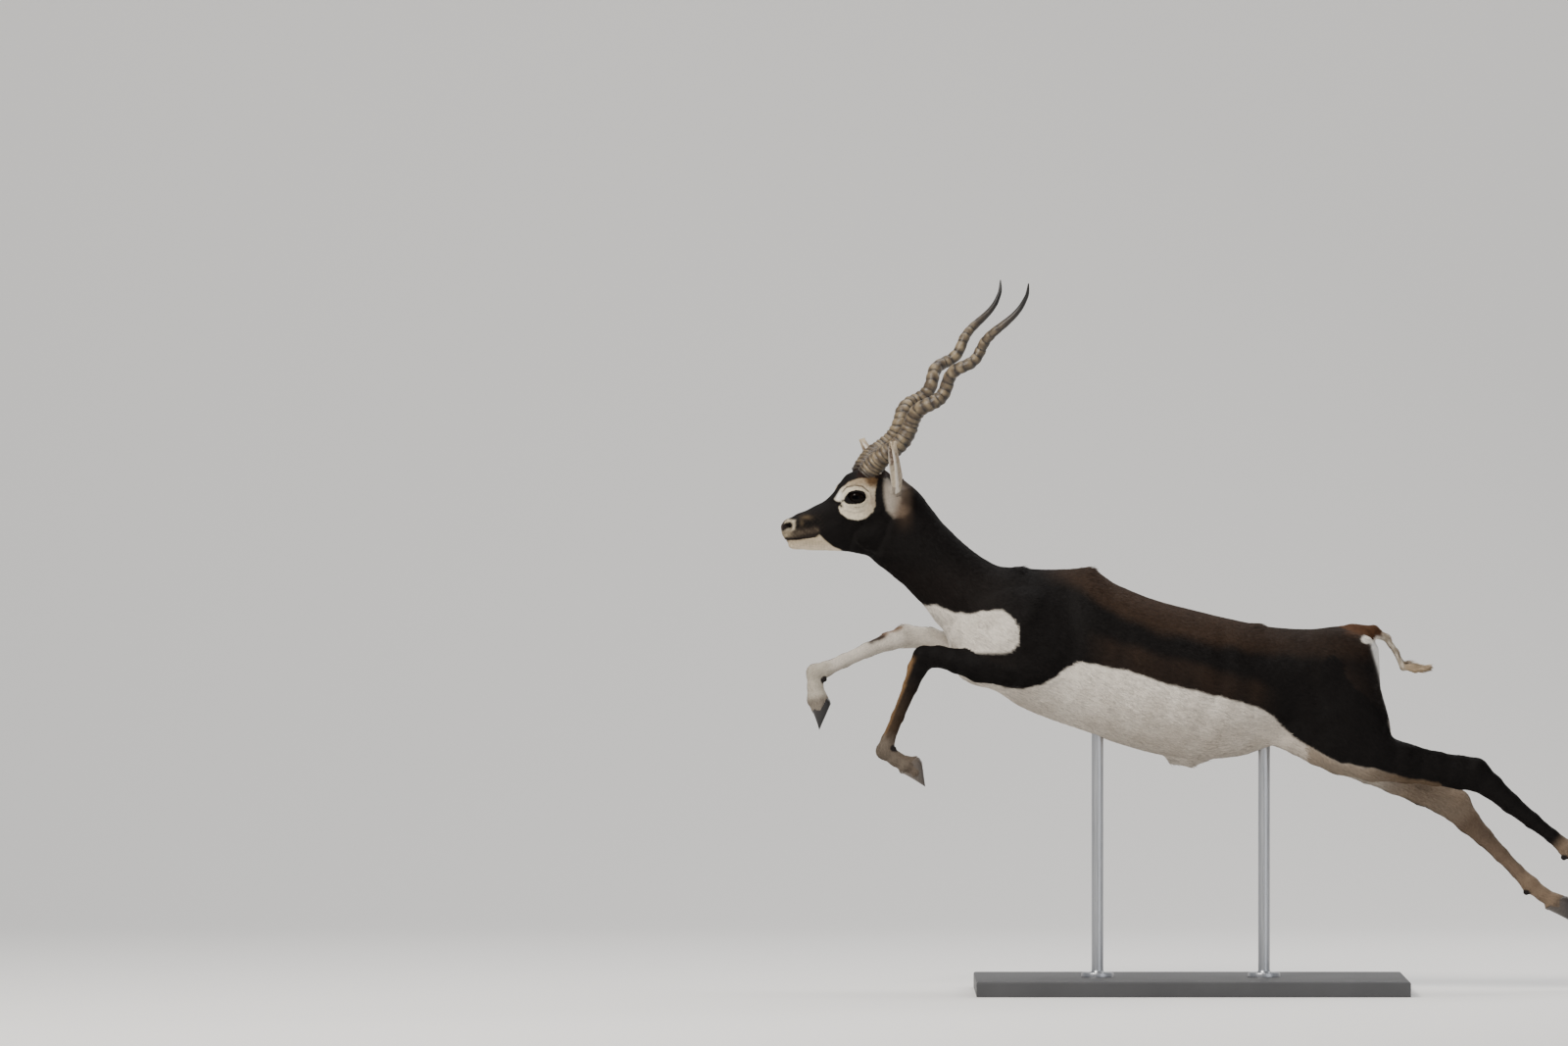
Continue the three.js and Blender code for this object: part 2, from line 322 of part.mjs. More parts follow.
// Quadric edge collapse down to `target` facets; `weight(x,y,z)` keeps detail where it is large.
function simplifyMesh({ P, T }, target, weight) {
  const nv = P.length / 3; let nf = T.length / 3;
  const Q = new Float64Array(nv * 10), F = Int32Array.from(T), alive = new Uint8Array(nf).fill(1);
  const vf = Array.from({ length: nv }, () => []);
  const stamp = new Int32Array(nv), dead = new Uint8Array(nv);
  for (let f = 0; f < nf; f++) {
    const [a, b, c] = [F[3 * f], F[3 * f + 1], F[3 * f + 2]];
    for (const v of [a, b, c]) vf[v].push(f);
    const ux = P[3 * b] - P[3 * a], uy = P[3 * b + 1] - P[3 * a + 1], uz = P[3 * b + 2] - P[3 * a + 2];
    const wx = P[3 * c] - P[3 * a], wy = P[3 * c + 1] - P[3 * a + 1], wz = P[3 * c + 2] - P[3 * a + 2];
    let nx = uy * wz - uz * wy, ny = uz * wx - ux * wz, nz = ux * wy - uy * wx;
    const l = Math.hypot(nx, ny, nz) + 1e-12; nx /= l; ny /= l; nz /= l;
    const d = -(nx * P[3 * a] + ny * P[3 * a + 1] + nz * P[3 * a + 2]);
    const k = l * 0.5 * weight((P[3 * a] + P[3 * b] + P[3 * c]) / 3, (P[3 * a + 1] + P[3 * b + 1] + P[3 * c + 1]) / 3, (P[3 * a + 2] + P[3 * b + 2] + P[3 * c + 2]) / 3);
    const q = [nx * nx, nx * ny, nx * nz, nx * d, ny * ny, ny * nz, ny * d, nz * nz, nz * d, d * d];
    for (const v of [a, b, c]) for (let j = 0; j < 10; j++) Q[10 * v + j] += q[j] * k;
  }
  const err = (q, x, y, z) => q[0] * x * x + 2 * q[1] * x * y + 2 * q[2] * x * z + 2 * q[3] * x + q[4] * y * y + 2 * q[5] * y * z + 2 * q[6] * y + q[7] * z * z + 2 * q[8] * z + q[9];
  const q = new Float64Array(10);
  function plan(a, b) {
    for (let j = 0; j < 10; j++) q[j] = Q[10 * a + j] + Q[10 * b + j];
    const ax = P[3 * a], ay = P[3 * a + 1], az = P[3 * a + 2], bx = P[3 * b], by = P[3 * b + 1], bz = P[3 * b + 2];
    const mx = (ax + bx) / 2, my = (ay + by) / 2, mz = (az + bz) / 2, len = Math.hypot(ax - bx, ay - by, az - bz);
    const r = 1e-3 * (q[0] + q[4] + q[7]) + 1e-12;
    const A = [q[0] + r, q[1], q[2], q[1], q[4] + r, q[5], q[2], q[5], q[7] + r], B = [-q[3] + r * mx, -q[6] + r * my, -q[8] + r * mz];
    const det = A[0] * (A[4] * A[8] - A[5] * A[7]) - A[1] * (A[3] * A[8] - A[5] * A[6]) + A[2] * (A[3] * A[7] - A[4] * A[6]);
    let x = mx, y = my, z = mz;
    if (Math.abs(det) > 1e-20) {
      x = (B[0] * (A[4] * A[8] - A[5] * A[7]) - A[1] * (B[1] * A[8] - A[5] * B[2]) + A[2] * (B[1] * A[7] - A[4] * B[2])) / det;
      y = (A[0] * (B[1] * A[8] - A[5] * B[2]) - B[0] * (A[3] * A[8] - A[5] * A[6]) + A[2] * (A[3] * B[2] - B[1] * A[6])) / det;
      z = (A[0] * (A[4] * B[2] - B[1] * A[7]) - A[1] * (A[3] * B[2] - B[1] * A[6]) + B[0] * (A[3] * A[7] - A[4] * A[6])) / det;
      if (!(Math.hypot(x - mx, y - my, z - mz) < 1.2 * len)) { x = mx; y = my; z = mz; }
    }
    return [Math.max(err(q, x, y, z), 0) + 2e-5 * len * len * weight(mx, my, mz), x, y, z];
  }
  // binary heap of candidate collapses
  let cap = nf * 4, n = 0, hk = new Float64Array(cap), ha = new Int32Array(cap), hb = new Int32Array(cap), hs = new Int32Array(cap);
  const grow = () => { cap *= 2; const g = (o, t) => { const m = new t(cap); m.set(o); return m; }; hk = g(hk, Float64Array); ha = g(ha, Int32Array); hb = g(hb, Int32Array); hs = g(hs, Int32Array); };
  const push = (k, a, b, s) => {
    if (n >= cap) grow();
    let i = n++;
    while (i > 0) { const p = (i - 1) >> 1; if (hk[p] <= k) break; hk[i] = hk[p]; ha[i] = ha[p]; hb[i] = hb[p]; hs[i] = hs[p]; i = p; }
    hk[i] = k; ha[i] = a; hb[i] = b; hs[i] = s;
  };
  const pop = () => {
    const r = [hk[0], ha[0], hb[0], hs[0]]; n--;
    const k = hk[n], a = ha[n], b = hb[n], s = hs[n]; let i = 0;
    for (;;) { let c = 2 * i + 1; if (c >= n) break; if (c + 1 < n && hk[c + 1] < hk[c]) c++; if (hk[c] >= k) break; hk[i] = hk[c]; ha[i] = ha[c]; hb[i] = hb[c]; hs[i] = hs[c]; i = c; }
    hk[i] = k; ha[i] = a; hb[i] = b; hs[i] = s; return r;
  };
  for (let f = 0; f < nf; f++) for (let e = 0; e < 3; e++) { const a = F[3 * f + e], b = F[3 * f + ((e + 1) % 3)]; if (a < b) push(plan(a, b)[0], a, b, 0); }
  const ring = (v) => { const s = new Set(); for (const f of vf[v]) if (alive[f]) for (let e = 0; e < 3; e++) s.add(F[3 * f + e]); s.delete(v); return s; };
  let left = nf;
  while (left > target && n > 0) {
    const [, a, b, s] = pop();
    if (dead[a] || dead[b] || s !== stamp[a] + stamp[b]) continue;
    const ra = ring(a), rb = ring(b); if (!ra.has(b)) continue;
    let common = 0; for (const v of ra) if (rb.has(v)) common++;
    if (common !== 2) continue;
    const [, x, y, z] = plan(a, b);
    let ok = true;
    for (const v of [a, b]) {
      for (const f of vf[v]) {
        if (!alive[f]) continue;
        const t = [F[3 * f], F[3 * f + 1], F[3 * f + 2]];
        if (t.includes(a) && t.includes(b)) continue;
        const g = t.map((w) => [P[3 * w], P[3 * w + 1], P[3 * w + 2]]), h = t.map((w, i) => (w === v ? [x, y, z] : g[i]));
        const nrm = (p) => { const u = [p[1][0] - p[0][0], p[1][1] - p[0][1], p[1][2] - p[0][2]], w = [p[2][0] - p[0][0], p[2][1] - p[0][1], p[2][2] - p[0][2]]; return [u[1] * w[2] - u[2] * w[1], u[2] * w[0] - u[0] * w[2], u[0] * w[1] - u[1] * w[0]]; };
        const n0 = nrm(g), n1 = nrm(h), l0 = Math.hypot(...n0), l1 = Math.hypot(...n1);
        if (l1 < 1e-4 || n0[0] * n1[0] + n0[1] * n1[1] + n0[2] * n1[2] < 0.25 * l0 * l1) { ok = false; break; }
      }
      if (!ok) break;
    }
    if (!ok) continue;
    P[3 * a] = x; P[3 * a + 1] = y; P[3 * a + 2] = z;
    for (let j = 0; j < 10; j++) Q[10 * a + j] += Q[10 * b + j];
    for (const f of vf[b]) {
      if (!alive[f]) continue;
      const t = [F[3 * f], F[3 * f + 1], F[3 * f + 2]];
      if (t.includes(a)) { alive[f] = 0; left--; continue; }
      for (let e = 0; e < 3; e++) if (F[3 * f + e] === b) F[3 * f + e] = a;
      vf[a].push(f);
    }
    vf[a] = vf[a].filter((f) => alive[f]); vf[b] = []; dead[b] = 1;
    stamp[a] += 1 + stamp[b];
    for (const v of ring(a)) push(plan(a, v)[0], a, v, stamp[a] + stamp[v]);
  }
  const map = new Int32Array(nv).fill(-1), OP = [], OT = [];
  for (let f = 0; f < nf; f++) if (alive[f]) for (let e = 0; e < 3; e++) { const v = F[3 * f + e]; if (map[v] < 0) { map[v] = OP.length / 3; OP.push(P[3 * v], P[3 * v + 1], P[3 * v + 2]); } OT.push(map[v]); }
  return { P: Float64Array.from(OP), T: Int32Array.from(OT) };
}

// ------------------------------------------------------------ solids
function solid({ P, T }) {
  const m = new wasm.Mesh({ numProp: 3, vertProperties: Float32Array.from(P), triVerts: Uint32Array.from(T) });
  m.merge();
  return new wasm.Manifold(m);
}
// rings of equal count, closed with a fan at each end
function rings(list) {
  const n = list[0].length, P = [], T = [];
  for (const r of list) for (const p of r) P.push(p[0], p[1], p[2]);
  const mid = (r) => r.reduce((s, p) => [s[0] + p[0] / n, s[1] + p[1] / n, s[2] + p[2] / n], [0, 0, 0]);
  const a = P.length / 3; P.push(...mid(list[0])); const b = a + 1; P.push(...mid(list[list.length - 1]));
  for (let i = 0; i < list.length - 1; i++) for (let j = 0; j < n; j++) {
    const k = (j + 1) % n, p = i * n + j, q = i * n + k, r = p + n, s = q + n;
    T.push(p, q, s, p, s, r);
  }
  for (let j = 0; j < n; j++) { const k = (j + 1) % n, e = (list.length - 1) * n; T.push(a, k, j, b, e + j, e + k); }
  let vol = 0;
  for (let i = 0; i < T.length; i += 3) {
    const [p, q, r] = [T[i], T[i + 1], T[i + 2]].map((v) => [P[3 * v], P[3 * v + 1], P[3 * v + 2]]);
    vol += p[0] * (q[1] * r[2] - q[2] * r[1]) - p[1] * (q[0] * r[2] - q[2] * r[0]) + p[2] * (q[0] * r[1] - q[1] * r[0]);
  }
  if (vol < 0) for (let i = 0; i < T.length; i += 3) [T[i + 1], T[i + 2]] = [T[i + 2], T[i + 1]];
  return { P, T };
}
// box with a drawn direction: starts at (u, w), runs along (du, dw), half breadth h across it
function slab(u, w, du, dw, len, h0, h1, y0, y1, grow = 0) {
  const l = Math.hypot(du, dw), ax = du / l, az = -dw / l, P = [];
  for (const s of [-grow, len * UNIT + grow]) for (const t of [-h0 * UNIT - grow, h1 * UNIT + grow]) for (const y of [y0 - grow, y1 + grow])
    P.push([X(u) + s * ax + t * az, y, Z(w) + s * az - t * ax]);
  return solid(rings([[P[0], P[1], P[3], P[2]], [P[4], P[5], P[7], P[6]]]));
}
function ball(c, r, n = 12, m = 8) {
  const list = [];
  for (let i = 1; i < m; i++) { const t = (Math.PI * i) / m, ring = []; for (let j = 0; j < n; j++) { const a = (2 * Math.PI * j) / n; ring.push([c[0] + r * Math.sin(t) * Math.cos(a), c[1] - r * Math.cos(t), c[2] + r * Math.sin(t) * Math.sin(a)]); } list.push(ring); }
  const s = rings(list), k = list.length * n;
  s.P[3 * k] = c[0]; s.P[3 * k + 1] = c[1] - r; s.P[3 * k + 2] = c[2];
  s.P[3 * k + 3] = c[0]; s.P[3 * k + 4] = c[1] + r; s.P[3 * k + 5] = c[2];
  return s;
}

// Spiral horn: a straight axis, a coil about it and a ringed, tapering bore.
const HORN_R = curve([0, 0.05, 0.13, 0.2, 0.35, 0.55, 0.72, 0.84, 0.935, 0.97, 1], [20.4, 19, 16.6, 15.6, 13.6, 11.6, 9.2, 6.5, 4.3, 3.1, 1.1]);
const HORN_TURN = curve([-0.06, 0, 0.29, 0.507, 0.723, 1.01], [-0.86, -0.64, 0.414, 1.414, 2.414, 3.5]); // turns of the coil up the horn
const HORN_BOW = curve([-0.06, 0, 0.1, 0.2, 0.3, 0.5, 0.7, 0.82, 0.9, 0.95, 1.01], [3, 5, 6.5, 5.5, 6, 9, 13.5, 17, 19.5, 16.5, 0.5]); // sweep of the axis to the back
const HORN_COIL = curve([-0.06, 0, 0.22, 0.58, 0.74, 0.86, 1.01], [0.5, 0.55, 1, 1, 0.45, 0.3, 0.05]); // share of the coil
const along = (L, t) => { const x = Math.min(Math.max((t + 0.06) / 1.07, 0), 1) * 239, i = Math.min(Math.floor(x), 238); return L[i] + (L[i + 1] - L[i]) * (x - i); };
function hornAxis(side) {
  const base = new THREE.Vector3(X(HORN.base[0]), side * HORN.base[2], Z(HORN.base[1]));
  const top = new THREE.Vector3(X(HORN.top[0]), side * HORN.top[2], Z(HORN.top[1]));
  const d = top.clone().sub(base).clone(), len = d.length(); d.normalize();
  const back = new THREE.Vector3(d.z, 0, -d.x); back.addScaledVector(d, -back.dot(d)).normalize();
  const inn = new THREE.Vector3().crossVectors(d, back).normalize(); if (inn.y * side > 0) inn.negate();
  return { base, d, back, inn, len };
}
function hornPoint(side, t) {
  const { base, d, back, inn, len } = hornAxis(side), s = t * len;
  const a = 2 * Math.PI * along(HORN_TURN, t), k = HORN.coil * along(HORN_COIL, t);
  return base.clone().addScaledVector(d, s).addScaledVector(back, k * Math.cos(a) + along(HORN_BOW, t)).addScaledVector(inn, k * Math.sin(a));
}
function horn(side, grow = 0) {
  const list = [], n = HORN.rings * 2 + 7, sides = HORN.sides;
  const lut = (t) => { const x = Math.min(Math.max(t, 0), 1) * 239, i = Math.min(Math.floor(x), 238); return HORN_R[i] + (HORN_R[i + 1] - HORN_R[i]) * (x - i); };
  for (let i = 0; i <= n; i++) {
    const t = -0.05 + 1.05 * Math.pow(i / n, 0.93), p = hornPoint(side, t), q = hornPoint(side, t + 0.004).sub(hornPoint(side, t - 0.004)).normalize();
    const b = new THREE.Vector3(0, 1, 0).addScaledVector(q, -q.y).normalize(), c = new THREE.Vector3().crossVectors(q, b);
    const ridged = t < 0.8 ? 1 : Math.max(0, 1 - (t - 0.8) / 0.06);
    const root = Math.max(0, -t / 0.05); // narrows and turns inward under the skin
    const r = lut(t) * (1 - 0.42 * root) * (1 + ridged * HORN.ridge * (i % 2 ? 1 : -1)) + grow;
    p.x += 13 * root; p.y -= side * 9 * root; p.z -= 3 * root;
    if (grow && i === 0) p.addScaledVector(q, -grow);
    const ring = [];
    for (let j = 0; j < sides; j++) { const a = (2 * Math.PI * j) / sides; ring.push(fromHead(p.x + r * (Math.cos(a) * b.x + Math.sin(a) * c.x), p.y + r * (Math.cos(a) * b.y + Math.sin(a) * c.y), p.z + r * (Math.cos(a) * b.z + Math.sin(a) * c.z))); }
    list.push(ring);
  }
  return solid(rings(list));
}

// An ear: a cupped leaf with a thin rim, its foot seated in the head
function ear(side, grow = 0) {
  const { foot, a, b, c, length } = earFrame(side), list = [], m = EARS.across;
  for (let i = 0; i <= EARS.levels; i++) {
    const t = -EARS.seat / length - (i ? 0 : grow / length) + (1 + EARS.seat / length) * (1 - (1 - i / EARS.levels) ** 1.15);
    const hw = earWidth(t), near = Math.max(0, Math.min(1, t / 0.3)), cup = EARS.cup * (0.55 + 0.45 * near) * (1 - 0.5 * Math.max(t, 0)), ring = [];
    const th = EARS.shell * (1.5 - 0.5 * near) * (1 - 0.35 * Math.max(t, 0));
    for (const face of [-1, 1]) for (let j = 0; j < m; j++) {
      const q = (face < 0 ? 1 : -1) * (1 - (2 * j) / (m - 1)), edge = Math.sqrt(Math.max(0, 1 - q * q * 0.75));
      const ang = q * 1.15, v = (hw * Math.sin(ang)) / Math.sin(1.15), w = (-cup * (Math.cos(ang) - Math.cos(1.15))) / (1 - Math.cos(1.15));
      const k = (th * edge + grow) * face, nx = Math.sin(ang) * 0.6 * -1, nw = Math.cos(ang * 0.6);
      const vv = v + nx * k * 1 + Math.sign(q) * grow * (Math.abs(q) > 0.99 ? 1 : 0), ww = w + nw * k, u = t * length - (1 - Math.abs(q)) * 0;
      const p = foot.clone().addScaledVector(a, u).addScaledVector(b, vv).addScaledVector(c, ww);
      ring.push(fromHead(p.x, p.y, p.z));
    }
    list.push(ring);
  }
  return solid(rings(list));
}

// One claw of a hoof. Side view: crown front and heel, sole heel and toe.
const FEET = {
  foreleg_left: { side: -1, crown: [[918.5, 787], [935.5, 771.5]], heel: [940.5, 776], toe: [944, 802], y: 48 },
  foreleg_right: { side: 1, crown: [[829, 726], [844.6, 712.4]], heel: [848, 718.6], toe: [836, 745.5], y: 49 },
  hindleg_left: { side: -1, crown: [[1614, 892], [1633, 880]], heel: [1640.5, 884], toe: [1651, 909], y: 49 },
  hindleg_right: { side: 1, crown: [[1578.5, 928], [1598, 915]], heel: [1606, 919], toe: [1612, 945], y: 49 },
};
const CLAW = { width: 17.5, part: 1.1, levels: 3, points: 8 };
function claw(foot, out) {
  const { crown: [F, H], heel, toe, side, y } = foot, list = [];
  const l = Math.hypot(H[0] - F[0], H[1] - F[1]), nu = -(H[1] - F[1]) / l, nw = (H[0] - F[0]) / l;
  const g = (GAP / 2) / UNIT;
  for (let i = 0; i <= CLAW.levels; i++) {
    const t = i / CLAW.levels, e = 0.08 * Math.sin(Math.PI * t) * l;
    const f = [F[0] + g * nu + (toe[0] - F[0] - g * nu) * t - e * 0.35 * nw * 0, F[1] + g * nw + (toe[1] - F[1] - g * nw) * t];
    const b = [H[0] + g * nu + (heel[0] - H[0] - g * nu) * t, H[1] + g * nw + (heel[1] - H[1] - g * nw) * t];
    const wd = CLAW.width * (1 - 0.06 * t), ring = [];
    for (let j = 0; j < CLAW.points; j++) {
      const a = (Math.PI * j) / (CLAW.points - 1), s = (1 - Math.cos(a)) / 2;
      const taper = t * (1 - s) * 0.38, lat = wd * Math.pow(Math.sin(a), 0.7) * (1 - taper) + CLAW.part;
      ring.push([X(f[0] + (b[0] - f[0]) * s), side * y + out * lat, Z(f[1] + (b[1] - f[1]) * s)]);
    }
    for (let j = 1; j < 3; j++) { const s = 1 - j / 3; ring.push([X(f[0] + (b[0] - f[0]) * s), side * y + out * CLAW.part * 0.75, Z(f[1] + (b[1] - f[1]) * s)]); }
    list.push(ring);
  }
  return solid(rings(list));
}

// ------------------------------------------------------------ assembly
const group = new THREE.Group();
group.name = 'blackbuck';
const PAINT = {
  coat: [0x1c1613, 0.85], pale: [0xcfc8bd, 0.85], foot: [0x8a7a68, 0.85], horn: [0x4a4034, 0.6], eye: [0x0d0b0a, 0.12],
  hoof: [0x33302e, 0.5], base: [0x3a3c3f, 0.5], rod: [0x8d9196, 0.35, 0.9],
};
function add(name, body, paint) {
  const parts = body.decompose();
  let best = parts[0];
  for (const p of parts) if (p.volume() > best.volume()) best = p;
  const m = best.getMesh();
  const P = new Float32Array(m.numVert * 3);
  for (let i = 0; i < m.numVert; i++) for (let j = 0; j < 3; j++) P[3 * i + j] = m.vertProperties[i * m.numProp + j];
  const geo = new THREE.BufferGeometry();
  geo.setAttribute('position', new THREE.BufferAttribute(P, 3));
  geo.setIndex(new THREE.BufferAttribute(Uint32Array.from(m.triVerts), 1));
  geo.computeVertexNormals();
  const [color, roughness, metalness = 0] = PAINT[paint];
  const mesh = new THREE.Mesh(geo, new THREE.MeshStandardMaterial({ color, roughness, metalness }));
  mesh.name = name;
  group.add(mesh);
  return parts.length;
}

// flesh as one closed body
const headWeight = (x, y, z) => (x < X(930) && z > Z(592) ? 5 : x < X(1000) || z < Z(790) ? 2.2 : x > X(1405) ? 2.5 : 1);
let flesh = solid(simplifyMesh(surface(), FLESH_TRIS, headWeight));

// sockets for the eyes, horns and rods
const eyeAt = (s) => fromHead(X(EYE_AT[0]), s * EYE_AT[2], Z(EYE_AT[1]));
const SIDES = [['left', -1], ['right', 1]];
// almond opening between the lids
function lidOpening(s) {
  const near = [], far = [], n = 16;
  for (let i = 0; i < n; i++) {
    const a = (2 * Math.PI * i) / n, du = Math.cos(a) * 8.7, dw = -Math.sin(a) * (Math.sin(a) > 0 ? 6.1 : 4.9) * (1 - 0.14 * Math.cos(a) ** 2) - 0.8 * Math.cos(a);
    const q = (k, y) => fromHead(X(EYE_AT[0] + du * k), s * y, Z(EYE_AT[1] + dw * k));
    near.push(q(1, EYE_AT[2] + 3)); far.push(q(1.1, EYE_AT[2] + 28));
  }
  return solid(rings([near, far]));
}
const rodTop = (u) => (u < 1200 ? Z(750) : Z(763)) + ROD.sink;
function cylinder(x, y, z0, z1, r, n = 16) {
  const ring = (z) => Array.from({ length: n }, (_, j) => [x + r * Math.cos((2 * Math.PI * j) / n), y + r * Math.sin((2 * Math.PI * j) / n), z]);
  return solid(rings([ring(z0), ring(z1)]));
}
function seated(body) {
  const box = body.boundingBox();
  const sockets = SIDES.flatMap(([, s]) => [solid(ball(eyeAt(s), EYE_R + GAP + 0.25)), lidOpening(s), horn(s, GAP), ear(s, GAP + 0.2)]);
  for (const u of ROD.at) sockets.push(cylinder(X(u), 0, 40, rodTop(u) + GAP, ROD.radius + GAP));
  let out = body;
  for (const q of sockets) {
    const b = q.boundingBox();
    if ([0, 1, 2].every((i) => b.min[i] < box.max[i] && b.max[i] > box.min[i])) out = out.subtract(q);
  }
  return out;
}

// part the flesh: each cut takes its piece and leaves a thin clearance behind it
const pieces = [];
function part(name, make, paint) {
  pieces.push({ name, make, paint, body: trim(flesh.intersect(make(0))) });
  flesh = flesh.subtract(make(GAP));
}
function trim(body) {
  const parts = body.decompose();
  let best = parts[0];
  for (const p of parts) if (p.volume() > best.volume()) best = p;
  const m = best.getMesh(), n = m.numVert, P = new Float64Array(n * 3), at = new Map(), id = new Int32Array(n), Q = [];
  for (let i = 0; i < n; i++) for (let j = 0; j < 3; j++) P[3 * i + j] = m.vertProperties[i * m.numProp + j];
  for (let i = 0; i < n; i++) {
    const k = `${P[3 * i]},${P[3 * i + 1]},${P[3 * i + 2]}`;
    if (!at.has(k)) { at.set(k, Q.length / 3); Q.push(P[3 * i], P[3 * i + 1], P[3 * i + 2]); }
    id[i] = at.get(k);
  }
  const T = Int32Array.from(m.triVerts, (v) => id[v]);
  return solid(simplifyMesh({ P: Float64Array.from(Q), T }, (T.length / 3) * KEEP, () => 1));
}
function drop(make) { flesh = flesh.subtract(make(GAP / 2)); }

for (const [name, foot] of Object.entries(FEET)) {
  const { crown: [F, H], side } = foot, l = Math.hypot(H[0] - F[0], H[1] - F[1]);
  const du = -(H[1] - F[1]) / l, dw = (H[0] - F[0]) / l, y = side < 0 ? [-130, 0] : [0, 130];
  drop((g) => slab((F[0] + H[0]) / 2, (F[1] + H[1]) / 2, du, dw, 40, 24, 24, y[0], y[1], g));
}
const L = [-180, -GAP / 2], R = [GAP / 2, 180];
part('foreleg_left_foot', (g) => slab(907, 751, -0.39, 0.92, 80, 60, 40, ...L, g), 'foot');
part('foreleg_left_cannon', (g) => slab(937, 680, -0.39, 0.92, 110, 30, 30, ...L, g), 'foot');
part('foreleg_left_forearm', (g) => slab(1012, 682, -1, -0.09, 130, 34, 34, -140, -44, g), 'coat');
part('foreleg_right_foot', (g) => slab(845, 682, -0.92, 0.39, 60, 40, 80, ...R, g), 'pale');
part('foreleg_right_cannon', (g) => slab(911, 653, -0.92, 0.39, 110, 30, 30, ...R, g), 'pale');
part('foreleg_right_forearm', (g) => slab(1000, 670, -1, -0.25, 130, 34, 34, 44, 140, g), 'pale');
part('hindleg_left_foot', (g) => slab(1586, 855, 0.78, 0.63, 110, 50, 60, ...L, g), 'foot');
part('hindleg_left_cannon', (g) => slab(1508, 791, 0.86, 0.51, 160, 60, 60, ...L, g), 'coat');
part('hindleg_left_shank', (g) => slab(1412, 773, 1, 0.12, 160, 60, 60, ...L, g), 'coat');
part('hindleg_right_foot', (g) => slab(1553, 893, 0.7, 0.71, 110, 50, 60, ...R, g), 'foot');
part('hindleg_right_cannon', (g) => slab(1490, 826, 0.74, 0.67, 160, 60, 60, ...R, g), 'coat');
part('hindleg_right_shank', (g) => slab(1408, 780, 0.92, 0.39, 160, 60, 60, ...R, g), 'coat');
part('tail', (g) => slab(1410, 664, 1, 0, 80, 34, 30, -40, 40, g), 'coat');
part('hindleg_left_thigh', (g) => slab(1367, 728, 0.48, 0.877, 130, 90, 90, ...L, g), 'coat');
part('hindleg_right_thigh', (g) => slab(1367, 728, 0.48, 0.877, 130, 90, 90, ...R, g), 'coat');
part('head', (g) => slab(911, 532, -0.963, -0.27, 170, 75, 95, -150, 150, g), 'coat');
part('neck', (g) => slab(987, 605, -0.695, -0.719, 200, 52, 62, -150, 150, g), 'coat');
part('rump', (g) => slab(1306, 700, 1, 0, 200, 200, 200, -200, 200, g), 'coat');
part('belly', (g) => slab(1162, 700, 1, 0, 200, 200, 200, -200, 200, g), 'coat');
pieces.push({ name: 'chest', paint: 'coat', body: trim(flesh) });
for (let i = 0; i < pieces.length; i++) for (let j = i + 1; j < pieces.length; j++) {
  const a = pieces[i], b = pieces[j];
  if (a.body.intersect(b.body).volume() < 1e-4) continue;
  a.body = a.body.intersect(a.make(0));
  b.body = b.body.subtract(a.make(GAP));
}
for (const q of pieces) add(q.name, seated(q.body), q.paint);

for (const [n, s] of SIDES) {
  add(`eye_${n}`, solid(ball(eyeAt(s), EYE_R)), 'eye');
  add(`horn_${n}`, horn(s), 'horn');
  add(`ear_${n}`, ear(s), 'pale');
}
for (const [name, foot] of Object.entries(FEET)) {
  add(`${name}_hoof_outer`, claw(foot, foot.side), 'hoof');
  add(`${name}_hoof_inner`, claw(foot, -foot.side), 'hoof');
}

// display stand
function plate() {
  const { length: l, width: w, thick: t, bevel: b } = PLATE;
  const ring = (z, k) => [[-l / 2 + k, -w / 2 + k, z], [l / 2 - k, -w / 2 + k, z], [l / 2 - k, w / 2 - k, z], [-l / 2 + k, w / 2 - k, z]];
  return solid(rings([ring(0, 0), ring(t - b, 0), ring(t, b)]));
}
add('stand_base', plate(), 'base');
for (const [i, u] of ROD.at.entries()) {
  const z = PLATE.thick + GAP;
  const rod = cylinder(X(u), 0, z, rodTop(u), ROD.radius).add(cylinder(X(u), 0, z, z + ROD.flangeThick, ROD.flange, 24));
  add(i ? 'stand_rod_rear' : 'stand_rod_front', rod, 'rod');
}

export default group;
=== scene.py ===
import bpy, bmesh, math
import numpy as np
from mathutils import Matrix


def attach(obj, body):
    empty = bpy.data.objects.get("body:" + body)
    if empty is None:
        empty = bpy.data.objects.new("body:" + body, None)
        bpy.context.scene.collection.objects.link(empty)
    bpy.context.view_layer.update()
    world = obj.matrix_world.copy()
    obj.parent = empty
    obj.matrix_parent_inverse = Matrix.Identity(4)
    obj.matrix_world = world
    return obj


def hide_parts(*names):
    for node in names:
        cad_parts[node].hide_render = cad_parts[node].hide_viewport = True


# Adult male blackbuck in mid leap on a plain display stand. Shapes are worked out in
# millimetres in the frame of the solids and turned into metres when a mesh is made.
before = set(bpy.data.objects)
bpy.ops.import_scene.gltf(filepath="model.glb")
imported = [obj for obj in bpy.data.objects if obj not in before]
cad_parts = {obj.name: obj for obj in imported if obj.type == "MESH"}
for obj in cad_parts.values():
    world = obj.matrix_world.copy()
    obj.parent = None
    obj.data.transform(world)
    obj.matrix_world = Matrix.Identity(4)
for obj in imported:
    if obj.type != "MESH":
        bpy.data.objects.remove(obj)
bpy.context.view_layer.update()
RNG = np.random.default_rng(20)
f4 = np.float32

